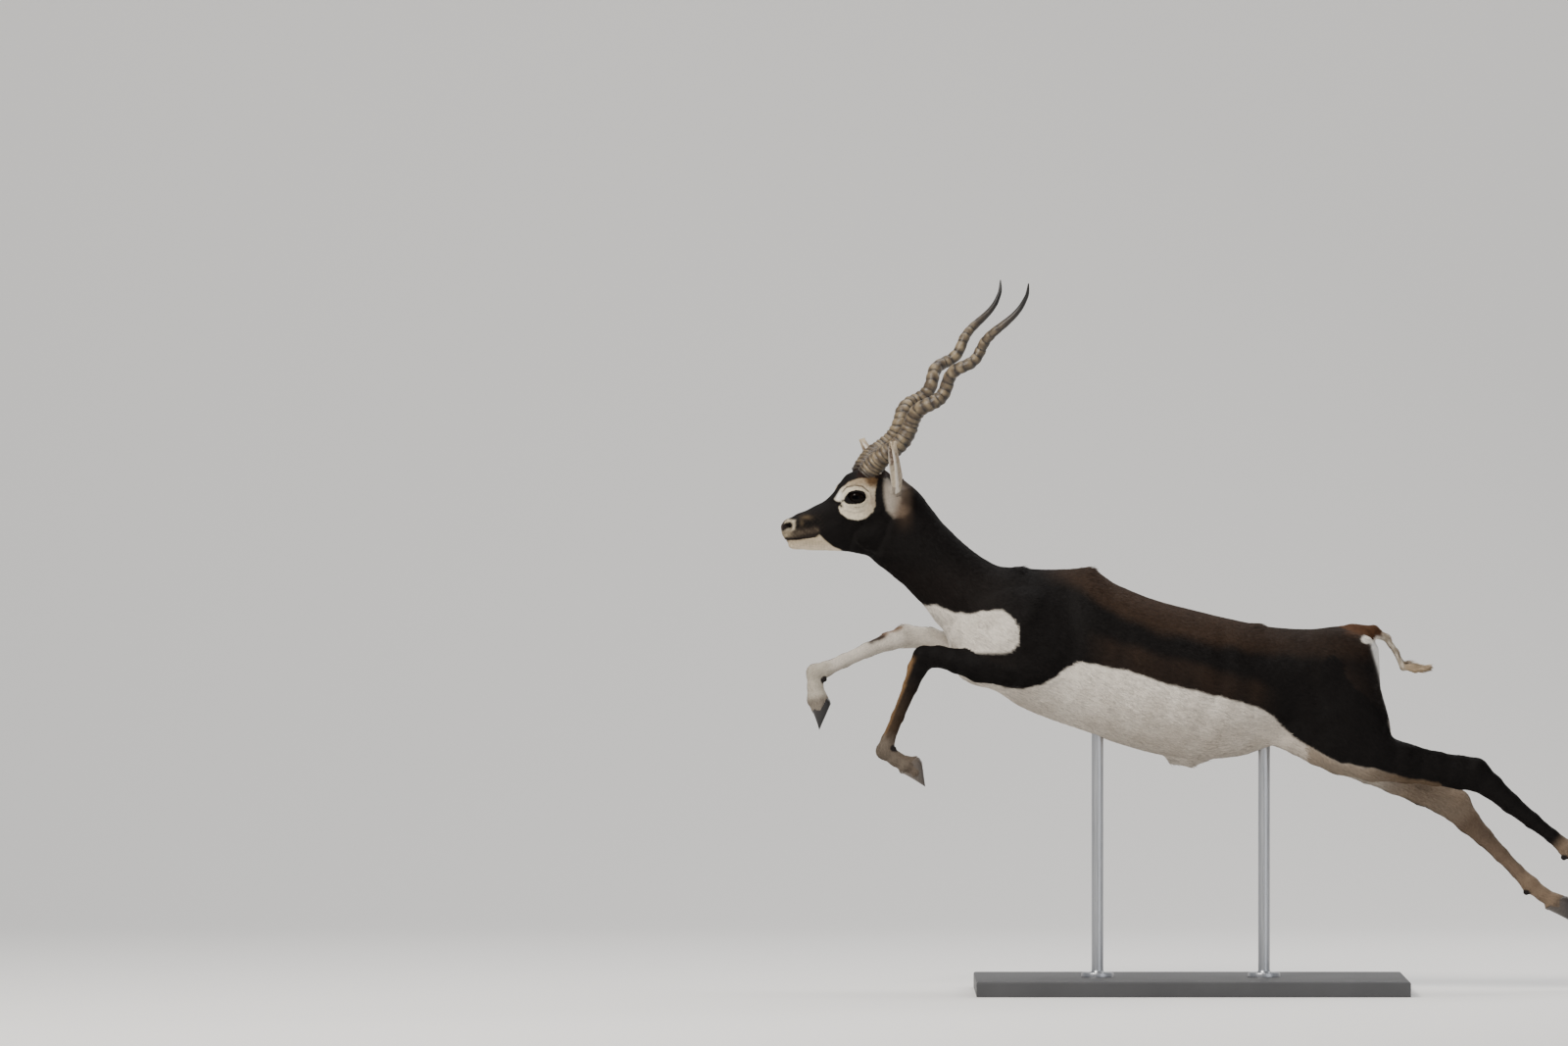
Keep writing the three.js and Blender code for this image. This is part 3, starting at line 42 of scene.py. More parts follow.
UNIT = 1 / 0.55
U0, W0 = 1215.0, 1012.0
X = lambda u: (u - U0) * UNIT
Z = lambda w: (W0 - w) * UNIT
rad = math.radians
HEAD_YAW, HEAD_ROLL = 10.0, 1.5
EYE_R, LID_R = 18.2, 21.4
EYE_AT = (869.6, 507.0, 35.2)


# ---------------------------------------------------------------- curves and blends
def curve(xs, ys, n=400):
    xs, ys = np.asarray(xs, float), np.asarray(ys, float)
    h = np.diff(xs); d = np.diff(ys) / h
    m = np.zeros(len(xs)); m[0], m[-1] = d[0], d[-1]
    for i in range(1, len(xs) - 1):
        if d[i - 1] * d[i] > 0:
            a, b = 2 * h[i] + h[i - 1], h[i] + 2 * h[i - 1]
            m[i] = (a + b) / (a / d[i - 1] + b / d[i])
    q = np.linspace(xs[0], xs[-1], n)
    i = np.clip(np.searchsorted(xs, q, side="right") - 1, 0, len(xs) - 2)
    t = (q - xs[i]) / h[i]
    return (ys[i] * (2 * t**3 - 3 * t**2 + 1) + h[i] * m[i] * (t**3 - 2 * t**2 + t)
            + ys[i + 1] * (3 * t**2 - 2 * t**3) + h[i] * m[i + 1] * (t**3 - t**2)).astype(f4)


def smin(a, b, k):
    h = np.maximum(k - np.abs(a - b), 0) * (1 / k)
    return np.minimum(a, b) - h * h * (k * 0.25)


def smax(a, b, k):
    return -smin(-a, -b, k)


def ss(e0, e1, x):
    t = np.clip((x - e0) / (e1 - e0), 0, 1)
    return t * t * (3 - 2 * t)


def mix(a, b, t):
    """from colour a to colour b"""
    t = np.asarray(t, float)
    t = t[..., None] if t.ndim else t
    return a * (1 - t) + b * t


PIVOT = np.array([X(903), 0, Z(515)])
CY, SY = math.cos(rad(HEAD_YAW)), math.sin(rad(HEAD_YAW))
CR, SR = math.cos(rad(HEAD_ROLL)), math.sin(rad(HEAD_ROLL))


def to_head(x, y, z):
    dx, dy, dz = x - PIVOT[0], y - PIVOT[1], z - PIVOT[2]
    lx, ly = CY * dx + SY * dy, -SY * dx + CY * dy
    return lx + PIVOT[0], CR * ly + SR * dz + PIVOT[1], -SR * ly + CR * dz + PIVOT[2]


def from_head(x, y, z):
    dx, dy, dz = x - PIVOT[0], y - PIVOT[1], z - PIVOT[2]
    ly, lz = CR * dy - SR * dz, SR * dy + CR * dz
    return CY * dx - SY * ly + PIVOT[0], SY * dx + CY * ly + PIVOT[1], lz + PIVOT[2]


# ---------------------------------------------------------------- shape functions
class Loft:
    def __init__(s, ou, ow, deg, stations):
        s.ox, s.oz = X(ou), Z(ow)
        s.c, s.s = math.cos(rad(deg)), math.sin(rad(deg))
        st = np.array([list(r) + [0.5, 2, 2][len(r) - 4:] for r in stations], float)
        st[:, :3] *= UNIT
        s.s0, s.s1 = st[0, 0], st[-1, 0]
        s.lut = [curve(st[:, 0], st[:, j]) for j in range(1, 7)]
        px, pz = [], []
        for q in (s.s0, s.s1):
            for v in (st[:, 1].max(), st[:, 2].min()):
                px.append(s.ox + q * s.c + v * s.s); pz.append(s.oz - q * s.s + v * s.c)
        hw = st[:, 3].max()
        s.box = (min(px), max(px), -hw, hw, min(pz), max(pz))

    def f(s, x, y, z):
        dx, dz = x - s.ox, z - s.oz
        q, vv = dx * s.c - dz * s.s, dx * s.s + dz * s.c
        qc = np.clip(q, s.s0, s.s1)
        n = len(s.lut[0])
        ti = (qc - s.s0) * ((n - 1) / (s.s1 - s.s0))
        i = np.minimum(ti.astype(np.int32), n - 2); t = (ti - i).astype(f4)
        g = lambda L: L[i] * (1 - t) + L[i + 1] * t
        top, bot, hw, mid, nu, nd = [g(L) for L in s.lut]
        m = bot + (top - bot) * mid
        dv = vv - m
        av = np.where(dv > 0, top - m, m - bot); e = np.where(dv > 0, nu, nd)
        a, b = np.abs(y) / hw, np.abs(dv) / av
        rho = (np.power(a + 1e-6, e) + np.power(b + 1e-6, e)) ** (1 / e)
        gx, gv = a / hw, b / av
        val = (rho - 1) * np.sqrt(a * a + b * b) / (np.sqrt(gx * gx + gv * gv) + 1e-9)
        val = np.where(rho < 0.35, -np.minimum(hw, av) * (1 - rho), val)
        de = np.abs(q - qc)
        out = np.where(de > 0, np.where(val > 0, np.sqrt(np.maximum(val, 0) ** 2 + de * de), np.maximum(de, val)), val)
        return out.astype(f4)


class Limb:
    def __init__(s, joints, k=8.0):
        s.st = np.array([[X(j[0]), j[2], Z(j[1]), j[3], j[4] if len(j) > 4 else 0.85] for j in joints], float)
        s.k = k
        R = s.st[:, 3].max(); lo, hi = s.st.min(0) - R, s.st.max(0) + R
        s.box = (lo[0], hi[0], lo[1], hi[1], lo[2], hi[2])

    def f(s, x, y, z):
        out = None
        for A, B in zip(s.st[:-1], s.st[1:]):
            b = B[:3] - A[:3]; L = float(b @ b)
            t = np.clip(((x - A[0]) * b[0] + (y - A[1]) * b[1] + (z - A[2]) * b[2]) / L, 0, 1)
            dx, dy, dz = x - A[0] - t * b[0], y - A[1] - t * b[1], z - A[2] - t * b[2]
            r, fl = A[3] + (B[3] - A[3]) * t, A[4] + (B[4] - A[4]) * t
            d2, yf = dx * dx + dz * dz, dy / fl
            rho = np.sqrt(d2 + yf * yf) + 1e-9
            val = (rho - r) * rho / (np.sqrt(d2 + (yf / fl) ** 2) + 1e-9)
            out = val if out is None else smin(out, val, s.k)
        return out.astype(f4)


class Knob:
    def __init__(s, u, w, y, rs, ry, rv, deg=0.0, yaw=0.0):
        s.p = (X(u), y, Z(w)); s.r = (rs, ry, rv)
        s.c, s.s = math.cos(rad(deg)), math.sin(rad(deg)); s.cy, s.sy = math.cos(rad(yaw)), math.sin(rad(yaw))
        m = max(s.r)
        s.box = (s.p[0] - m, s.p[0] + m, y - m, y + m, s.p[2] - m, s.p[2] + m)

    def f(s, x, y, z):
        ex, ey, dz = x - s.p[0], y - s.p[1], z - s.p[2]
        dx, dy = s.cy * ex + s.sy * ey, -s.sy * ex + s.cy * ey
        q, v = dx * s.c - dz * s.s, dx * s.s + dz * s.c
        a, b, c = s.r
        k0 = np.sqrt((q / a) ** 2 + (dy / b) ** 2 + (v / c) ** 2) + 1e-9
        k1 = np.sqrt((q / a**2) ** 2 + (dy / b**2) ** 2 + (v / c**2) ** 2) + 1e-9
        return (k0 * (k0 - 1) / k1).astype(f4)


both = lambda fn: [fn(-1), fn(1)]

trunk = Loft(0, 0, 0, [
    [970, -640, -670, 34, 0.5], [980, -620, -686, 58, 0.5], [996, -599, -698, 76, 0.5], [1016, -585, -706, 88, 0.5, 1.8, 2],
    [1040, -579, -721, 96, 0.5, 1.7, 1.9], [1070, -580, -734, 101, 0.5, 1.7, 1.9], [1108, -579, -747, 106, 0.5, 1.75, 1.9], [1140, -595.5, -759, 110, 0.48, 1.9, 2],
    [1180, -611.5, -770, 114, 0.47, 2, 2], [1220, -622, -776, 114, 0.47, 2, 2], [1260, -631.5, -773, 108, 0.48, 2, 2], [1300, -639, -761, 97, 0.5, 2.1, 2],
    [1335, -641, -752, 91, 0.55, 2.2, 2], [1368, -638, -745, 84, 0.6, 2.1, 2], [1392, -642, -730, 70, 0.6], [1406, -658, -712, 48, 0.6]])
neck = Loft(905, 520, 46, [
    [-12, 34, -26, 38], [8, 36, -40, 45], [30, 34, -44.5, 48], [50, 32.3, -43, 50], [70, 32.8, -41, 53], [95, 35.5, -41.5, 59, 0.5, 1.8], [120, 42, -44.5, 66, 0.5, 1.7],
    [150, 52, -45, 72, 0.5, 1.7], [176, 56, -42, 74, 0.5, 1.7]])
shoulder = both(lambda s: Knob(1036, 648, s * 62, 78, 40, 88, 58))
brisket = Knob(1000, 668, 0, 46, 46, 52, 40)
FORE = [
    [[1066, 678, -74, 40, 0.8], [1036, 683, -76, 34, 0.8], [1000, 680, -72, 29, 0.82], [978, 674, -68, 23.5], [958, 669, -64, 20.5, 0.92], [943, 670, -61, 22, 0.95],
     [936, 681, -60, 18.5], [929, 699, -58, 14.6], [916, 730, -54, 12.2], [906, 754, -51, 13], [903, 765, -50, 17, 0.95], [914, 773.5, -49, 14, 1.1], [926, 780, -48, 16.5, 1.2], [934, 786, -48, 15, 1.2]],
    [[1050, 682, 74, 38, 0.8], [1020, 677, 75, 32, 0.8], [985, 665, 71, 25, 0.82], [950, 652, 66, 21.5], [925, 649.5, 62, 22.5, 0.95],
     [908, 654.5, 60, 18], [886, 663.5, 57, 14.2], [862, 674.5, 54, 13.2], [843, 683, 52, 14.5], [833, 687.5, 51, 18.5, 0.95], [831.8, 700, 50, 14.8, 1.1], [834, 713.5, 49, 19, 1.2], [836, 721.5, 49, 16, 1.2]]]
HIND = [
    [[1372, 760, -64, 56, 0.6], [1400, 770.5, -66, 48, 0.56], [1432, 777.5, -64, 38.5, 0.54], [1462, 783, -61, 32.5, 0.53], [1488, 787, -58, 31.5, 0.55], [1503, 789, -57, 31, 0.6],
     [1520, 801, -55, 23, 0.7], [1540, 818.5, -53, 18.8, 0.8], [1562, 836, -52, 15.3], [1582, 851.5, -51, 13], [1598, 865, -50, 16.2, 0.95], [1611, 876, -49, 13.5, 1.1], [1624, 886, -49, 16, 1.2], [1633, 893, -49, 14, 1.2]],
    [[1374, 763, 64, 55, 0.6], [1398, 777, 66, 43, 0.58], [1426, 791, 64, 37.5, 0.54], [1452, 804.5, 61, 33, 0.52], [1474, 815, 58, 31, 0.55], [1486, 822, 57, 30.5, 0.6],
     [1499, 838, 55, 23, 0.7], [1515, 854, 53, 17.5, 0.8], [1533, 872.5, 52, 14.3], [1549, 889, 51, 13], [1563, 903.5, 50, 16.2, 0.95], [1575.5, 913, 49, 13.5, 1.1], [1588, 921, 49, 16, 1.2], [1597, 927, 49, 14, 1.2]]]
TAIL = [[1380, 647, 0, 20, 1], [1400, 645, 0, 14, 1], [1414, 650, 0, 9, 1], [1423.5, 664, 0, 7.4, 1], [1431.5, 680.5, 0, 8.6, 1], [1443, 683, 0, 7.2, 1], [1458, 681, 0, 3.8, 1]]
haunch = both(lambda s: Limb([[1360, 688, s * 50, 80, 0.5], [1370, 730, s * 54, 79, 0.5], [1378, 744, s * 55, 74, 0.5]], 14))
# fold of skin from the flank to the stifle
flank_fold = both(lambda s: Limb([[1300, 742, s * 44, 34, 0.5], [1327, 750, s * 48, 38, 0.5], [1346, 757, s * 53, 43, 0.5], [1362, 760, s * 58, 48, 0.55]], 8))
DEW = [(911.5, 763, -1), (841, 694, 1), (1594.5, 874.5, -1), (1558.5, 911.8, 1)]
FEET = {
    "foreleg_left": (-1, [918.5, 787], [935.5, 771.5], [940.5, 776], [944, 802], 48), "foreleg_right": (1, [829, 726], [844.6, 712.4], [848, 718.6], [836, 745.5], 49),
    "hindleg_left": (-1, [1614, 892], [1633, 880], [1640.5, 884], [1651, 909], 49), "hindleg_right": (1, [1578.5, 928], [1598, 915], [1606, 919], [1612, 945], 49)}
dewclaws = [Knob(u, w, s * y, 7.5, 5, 6) for u, w, s in DEW for y in (58, 42)]
coronets = [Knob((F_[0] + H_[0]) / 2 - (T_[0] - F_[0]) * 0.02, (F_[1] + H_[1]) / 2 - (T_[1] - F_[1]) * 0.02, s * y, math.hypot(H_[0] - F_[0], H_[1] - F_[1]) / 2 * UNIT + 1.5, 19.2, 7.5,
                 math.degrees(math.atan2(H_[1] - F_[1], H_[0] - F_[0]))) for s, F_, H_, E_, T_, y in FEET.values()]
prepuce = Limb([[1196, 774, 0, 12, 1], [1214, 776.5, 0, 12, 1], [1226, 774, 0, 9, 1]], 8)
skull = Loft(0, 0, 0, [
    [796.8, -536, -545.6, 9.5, 0.5], [799.8, -531.4, -550.6, 15.5, 0.5], [805.6, -527.4, -555.6, 19.8, 0.5], [813, -523, -559.5, 21.5, 0.5], [821, -520.2, -561.3, 22, 0.5, 2.2, 2], [830, -515.5, -562, 23, 0.5, 2.1, 1.9],
    [840, -510.5, -562, 26, 0.55, 2, 1.8], [849, -502.4, -562.3, 31, 0.6, 2, 1.7], [856, -492.8, -562.6, 37, 0.64, 2.1, 1.6], [864, -483.6, -563.2, 43, 0.66, 2.3, 1.5],
    [874, -479.3, -565, 46, 0.66, 2.4, 1.5], [886, -476.5, -567.5, 46.5, 0.64, 2.4, 1.5], [898, -477.5, -574, 45, 0.6, 2.2, 1.6], [910, -485, -578, 41, 0.55], [922, -498, -574, 34, 0.5]])
face = (both(lambda s: Knob(868, 503.5, s * 33, 27, 19, 25, 0)) + both(lambda s: Knob(890, 546, s * 24, 36, 17, 27, -14))
        + both(lambda s: Knob(886.5, 484, s * 28, 26, 20, 21.5, -34)) + [Knob(802.8, 537, 0, 13, 18, 14, 20), Knob(810, 556, 0, 13, 14, 8, 0)])
lids = both(lambda s: Knob(EYE_AT[0], EYE_AT[1], s * EYE_AT[2], LID_R + 1.5, LID_R, LID_R, 0))
nostrils = both(lambda s: Knob(801.2, 536.4, s * 14.0, 9.5, 6.5, 4.2, 16, s * 36)) + both(lambda s: Knob(798.0, 538.4, s * 11.5, 5.0, 5.5, 3.4, 20, s * 50))

EARS = {-1: dict(foot=(907, 500, 52), tip=(896, 448.5, 119), open=11), 1: dict(foot=(906.5, 500, 52), tip=(887.5, 450, 121), open=11)}
EAR_HW, EAR_CUP, EAR_SHELL = 21.0, 19.5, 2.0
EAR_W = curve([-0.2, 0, 0.15, 0.35, 0.55, 0.75, 0.88, 0.96, 1], [0.38, 0.5, 0.76, 0.98, 1, 0.76, 0.44, 0.2, 0.07], 240)


def ear_frame(side):
    L = EARS[side]
    foot = np.array([X(L["foot"][0]), L["foot"][2] * side, Z(L["foot"][1])]); tip = np.array([X(L["tip"][0]), L["tip"][2] * side, Z(L["tip"][1])])
    a = tip - foot; n = np.linalg.norm(a); a /= n
    o = np.array([-math.cos(rad(L["open"])), side * math.sin(rad(L["open"])), 0.0])
    c = o - a * (o @ a); c /= np.linalg.norm(c)
    return foot, a, np.cross(c, a), c, n


def ear_coords(side, x, y, z):
    foot, a, b, c, n = ear_frame(side)
    ex, ey, ez = x - foot[0], y - foot[1], z - foot[2]
    return (ex * a[0] + ey * a[1] + ez * a[2]) / n, ex * b[0] + ey * b[1] + ez * b[2], ex * c[0] + ey * c[1] + ez * c[2], n


def ear_width(t):
    x = np.clip((t + 0.2) / 1.2, 0, 1) * 239
    i = np.minimum(x.astype(np.int32), 238)
    return EAR_HW * (EAR_W[i] + (EAR_W[i + 1] - EAR_W[i]) * (x - i))


class Ear:
    def __init__(s, side):
        s.side = side
        foot, a, b, c, n = ear_frame(side); tip = foot + a * n
        lo, hi = np.minimum(foot, tip) - 24, np.maximum(foot, tip) + 24
        s.box = (lo[0], hi[0], lo[1], hi[1], lo[2], hi[2])

    def f(s, x, y, z):
        t, v, w, n = ear_coords(s.side, x, y, z)
        hw = ear_width(t) - 0.6
        near = np.clip(t / 0.3, 0, 1); tp = np.maximum(t, 0)
        cup = EAR_CUP * (0.55 + 0.45 * near) * (1 - 0.5 * tp)
        sn = math.sin(1.15)
        ang = np.arcsin(np.clip(v * sn / hw, -0.96, 0.96))
        mid = -cup * (np.cos(ang) - math.cos(1.15)) / (1 - math.cos(1.15))
        slope = cup * np.tan(np.clip(np.abs(ang), 0, 1.15)) * sn / (hw * (1 - math.cos(1.15)))
        th = (EAR_SHELL - 0.35) * (1.5 - 0.5 * near) * (1 - 0.35 * tp)
        shell = np.abs(w - mid) / np.sqrt(1 + slope * slope) - th
        # the edge is rolled into a soft round rim
        rim = np.sqrt((np.abs(v) - np.maximum(hw - 0.5, 0)) ** 2 + (w + 1.3) ** 2) - (2.1 - 0.4 * tp)
        return smax(smin(smax(shell, np.maximum(np.abs(v) - hw, w + 0.3), 0.6), rim, 1.2), np.maximum(-8 - t * n, t * n - n + 0.8), 1.8).astype(f4)


HORN = dict(base=(883.5, 478, 35), top=(1035.1, 286.2, 139), coil=7.2)
HORN_R = curve([0, 0.05, 0.13, 0.2, 0.35, 0.55, 0.72, 0.84, 0.935, 0.97, 1], [20.4, 19, 16.6, 15.6, 13.6, 11.6, 9.2, 6.5, 4.3, 3.1, 1.1], 240)
HORN_TURN = curve([-0.06, 0, 0.29, 0.507, 0.723, 1.01], [-0.86, -0.64, 0.414, 1.414, 2.414, 3.5], 240)
HORN_BOW = curve([-0.06, 0, 0.1, 0.2, 0.3, 0.5, 0.7, 0.82, 0.9, 0.95, 1.01], [3, 5, 6.5, 5.5, 6, 9, 13.5, 17, 19.5, 16.5, 0.5], 240)
HORN_COIL = curve([-0.06, 0, 0.22, 0.58, 0.74, 0.86, 1.01], [0.5, 0.55, 1, 1, 0.45, 0.3, 0.05], 240)
along = lambda L, t: np.interp(t, np.linspace(-0.06, 1.01, 240), L)


def horn_point(side, t):
    b = np.array([X(HORN["base"][0]), side * HORN["base"][2], Z(HORN["base"][1])]); e = np.array([X(HORN["top"][0]), side * HORN["top"][2], Z(HORN["top"][1])])
    d = e - b; ln = np.linalg.norm(d); d /= ln
    back = np.array([d[2], 0, -d[0]]); back -= d * (back @ d); back /= np.linalg.norm(back)
    inn = np.cross(d, back)
    if inn[1] * side > 0: inn = -inn
    s = t * ln
    a = 2 * math.pi * along(HORN_TURN, t); kk = HORN["coil"] * along(HORN_COIL, t)
    return b + d * s[:, None] + back * (kk * np.cos(a) + along(HORN_BOW, t))[:, None] + inn * (kk * np.sin(a))[:, None]


class HornFoot:
    """skin rising a little way round the root of a horn"""
    def __init__(s, side):
        q = horn_point(side, np.array([-0.002, 0.0, 0.004]))
        s.p = q[1]; s.d = (q[2] - q[0]) / np.linalg.norm(q[2] - q[0])
        s.box = (s.p[0] - 34, s.p[0] + 34, s.p[1] - 34, s.p[1] + 34, s.p[2] - 34, s.p[2] + 34)

    def f(s, x, y, z):
        ex, ey, ez = x - s.p[0], y - s.p[1], z - s.p[2]
        t = ex * s.d[0] + ey * s.d[1] + ez * s.d[2]
        r = np.sqrt(np.maximum((ex - t * s.d[0]) ** 2 + (ey - t * s.d[1]) ** 2 + (ez - t * s.d[2]) ** 2, 0))
        rad_ = 21.0 + np.minimum(t + 9, 0) * 0.6
        return smax(r - rad_, np.maximum(t + 8, -t - 24), 3.0).astype(f4)


# ---------------------------------------------------------------- sampling grid
def lines(ranges):
    out = [ranges[0][0]]
    for a, b, h in ranges:
        n = max(1, round((b - a) / h))
        out += [a + (b - a) * i / n for i in range(1, n + 1)]
    return np.array(out, f4)


def fold(F, G, prim, k, pad, op=smin, sign=1.0):
    idx = []
    for ax in range(3):
        lo, hi = prim.box[2 * ax] - pad, prim.box[2 * ax + 1] + pad
        i0, i1 = np.searchsorted(G[ax], lo), np.searchsorted(G[ax], hi)
        if i1 <= i0:
            return
        idx.append(slice(int(i0), int(i1)))
    x, y, z = G[0][idx[0]][:, None, None], G[1][idx[1]][None, :, None], G[2][idx[2]][None, None, :]
    v = prim.f(x, y, z)
    sub = F[idx[0], idx[1], idx[2]]
    F[idx[0], idx[1], idx[2]] = op(sub, sign * v, k)


def head_block(G):
    """the head is summed in its own turned frame, then returned with its place in the grid"""
    s = []
    for ax, (lo, hi) in enumerate(((X(778), X(944)), (-138, 138), (Z(594), Z(440)))):
        s.append(slice(int(np.searchsorted(G[ax], lo)), int(np.searchsorted(G[ax], hi))))
    gx, gy, gz = np.meshgrid(G[0][s[0]], G[1][s[1]], G[2][s[2]], indexing="ij")
    a, b, c = [v.astype(f4) for v in to_head(gx, gy, gz)]
    H = np.full(a.shape, 60, f4)

    def put(prim, k, pad=14, op=smin, sign=1.0):
        m = ((a > prim.box[0] - pad) & (a < prim.box[1] + pad) & (b > prim.box[2] - pad) & (b < prim.box[3] + pad)
             & (c > prim.box[4] - pad) & (c < prim.box[5] + pad))
        H[m] = op(H[m], sign * prim.f(a[m], b[m], c[m]), k)
    put(skull, 1, 20)
    for g in face: put(g, 9)
    for g in lids: put(g, 4, 8)
    for s_ in (-1, 1): put(HornFoot(s_), 7, 8)
    H += HEAD_COAT
    # sockets, with an almond opening between the lids
    for s_ in (-1, 1):
        ex, ez, ey = X(EYE_AT[0]), Z(EYE_AT[1]), s_ * EYE_AT[2]
        m = (np.abs(a - ex) < 34) & (np.abs(b - ey) < 40) & (np.abs(c - ez) < 30)
        da, db, dc = a[m] - ex, b[m] - ey, c[m] - ez
        v = smax(H[m], -(np.sqrt(da**2 + db**2 + dc**2) - EYE_R - 0.30), 0.4)
        # almond: a higher arch above, the front corner drawn down and out to a point
        tilt = dc + 0.10 * da - np.clip(-da - 9, 0, 9) * 0.22
        up = np.where(tilt > 0, 10.4, 8.6)
        rr = np.sqrt((da / np.where(da < 0, 17.4, 15.8)) ** 2 + (tilt / up) ** 2)
        op_ = np.maximum((rr - 1) * 10, 4 - db * s_)
        H[m] = smax(v, -op_, 1.0)
        # folds of the upper and lower lid
        side = db * s_ > 2
        e1 = np.sqrt((da / 22.0) ** 2 + ((dc - 1.0) / 16.5) ** 2)
        g1 = np.abs(e1 - 1) * 18 - 1.3
        e2 = np.sqrt((da / 27.0) ** 2 + ((dc - 1.5) / 23.5) ** 2)
        g2 = np.abs(e2 - 1) * 24 - 0.8
        e3 = np.sqrt((da / 22.0) ** 2 + ((dc + 1.0) / 16.0) ** 2)
        g3 = np.abs(e3 - 1) * 18 - 0.7
        cut = np.minimum(np.minimum(np.where(dc > -1, g1, 9), np.where((dc > 5) & (da < 16), g2, 9)), np.where(dc < -5, g3, 9))
        H[m] = np.where(side, np.maximum(H[m], np.minimum(-cut, H[m] + np.where(dc > 0, 1.4, 0.8))), H[m])
    for g in nostrils: put(g, 1.4, 6, smax, -1.0)
    # line of the mouth
    mu, mw = U0 + a / UNIT, W0 - c / UNIT
    line = 549.6 - (mu - 803) * 0.075 + 1.2 * np.exp(-((mu - 799) / 3.0) ** 2)
    depth = 2.6 * np.clip((837 - mu) / 9, 0, 1)
    crease = np.abs(mw - line) * UNIT - 0.75
    H[:] = np.where((mu > 795) & (mu < 842), np.maximum(H, np.minimum(-crease, H + depth)), H)
    for s_ in (-1, 1): put(Ear(s_), 6, 8)
    return s, H


HEAD_COAT, BODY_COAT = 1.2, 2.6


def skin_field():
    q = 1.0
    G = [lines([[X(786), X(936), 1.25 * q], [X(936), X(1000), 3.2 * q], [X(1000), X(1390), 6.4 * q], [X(1390), X(1470), 2.8 * q], [X(1470), X(1648), 3.4 * q]]),
         lines([[-140, -132, 4], [-132, -66, 1.7 * q], [-66, 66, 1.5 * q], [66, 132, 1.7 * q], [132, 140, 4]]),
         lines([[Z(942), Z(780), 3.4 * q], [Z(780), Z(600), 4.2 * q], [Z(600), Z(440), 1.3 * q]])]
    F = np.full([len(g) for g in G], 60, f4)
    for prim, k in ([(trunk, 1), (neck, 26), (brisket, 22)] + [(g, 22) for g in shoulder] + [(g, 22) for g in haunch] + [(g, 16) for g in flank_fold] + [(Limb(h, 6), 16) for h in HIND]
                    + [(Limb(h, 6), 14) for h in FORE] + [(Limb([TAIL[0], TAIL[1]] + [[j[0], j[1], j[2], j[3] * 0.92, 1] for j in TAIL[2:]], 5), 12), (prepuce, 14)] + [(g, 4) for g in dewclaws] + [(g, 5) for g in coronets]):
        fold(F, G, prim, k, max(k, 8) + 6)
    # coat depth: thick on the trunk, thin on the legs and toward the head
    x, y, z = G[0][:, None, None], G[1][None, :, None], G[2][None, None, :]
    leg = np.maximum(ss(X(1012), X(960), x) * ss(Z(640), Z(660), z), ss(X(1425), X(1500), x))
    depth = BODY_COAT * (1 - leg) + 1.3 * leg
    depth = depth * (1 - ss(X(985), X(925), x) * ss(Z(650), Z(600), z)) + HEAD_COAT * ss(X(985), X(925), x) * ss(Z(650), Z(600), z)
    F += depth.astype(f4)
    s, H = head_block(G)
    sub = F[s[0], s[1], s[2]]
    F[s[0], s[1], s[2]] = smin(sub, H, 14)
    return G, F


def surface(G, F):
    gx, gy, gz = G
    S = F < 0
    n8 = np.zeros([d - 1 for d in F.shape], np.int8)
    corners = [(i, j, k) for i in (0, 1) for j in (0, 1) for k in (0, 1)]
    sl = lambda d, n: slice(d, n - 1 + d)
    for i, j, k in corners:
        n8 += S[sl(i, F.shape[0]), sl(j, F.shape[1]), sl(k, F.shape[2])]
    act = (n8 > 0) & (n8 < 8)
    ci, cj, ck = np.nonzero(act)
    V = {c: F[ci + c[0], cj + c[1], ck + c[2]] for c in corners}
    acc = np.zeros((len(ci), 3)); cnt = np.zeros(len(ci))
    for c in corners:
        for ax in range(3):
            if c[ax]: continue
            d = list(c); d[ax] = 1; d = tuple(d)
            a, b = V[c], V[d]
            m = (a < 0) != (b < 0)
            t = np.where(m, a / np.where(m, a - b, 1), 0)
            p = np.array(c, float)[None, :].repeat(len(ci), 0); p[:, ax] = t
            acc[m] += p[m]; cnt[m] += 1
    p = acc / cnt[:, None]
    P = np.stack([gx[ci] + (gx[ci + 1] - gx[ci]) * p[:, 0], gy[cj] + (gy[cj + 1] - gy[cj]) * p[:, 1], gz[ck] + (gz[ck + 1] - gz[ck]) * p[:, 2]], 1)
    idx = np.full(act.shape, -1, np.int32); idx[ci, cj, ck] = np.arange(len(ci))
    Q = []
    for ax in range(3):
        o = [1 if i != ax else 0 for i in range(3)]
        A = S[tuple(slice(o[i], F.shape[i] - 1) for i in range(3))]
        B = S[tuple(slice(o[i] + (1 if i == ax else 0), F.shape[i] - 1 + (1 if i == ax else 0)) for i in range(3))]
        i, j, k = np.nonzero(A != B)
        flip = ~A[i, j, k]
        i, j, k = i + o[0], j + o[1], k + o[2]
        if ax == 0: q = [idx[i, j - 1, k - 1], idx[i, j, k - 1], idx[i, j, k], idx[i, j - 1, k]]
        elif ax == 1: q = [idx[i - 1, j, k - 1], idx[i - 1, j, k], idx[i, j, k], idx[i, j, k - 1]]
        else: q = [idx[i - 1, j - 1, k], idx[i, j - 1, k], idx[i, j, k], idx[i - 1, j, k]]
        q = np.stack(q, 1)
        q[flip] = q[flip][:, ::-1]
        Q.append(q)
    return P, np.concatenate(Q)


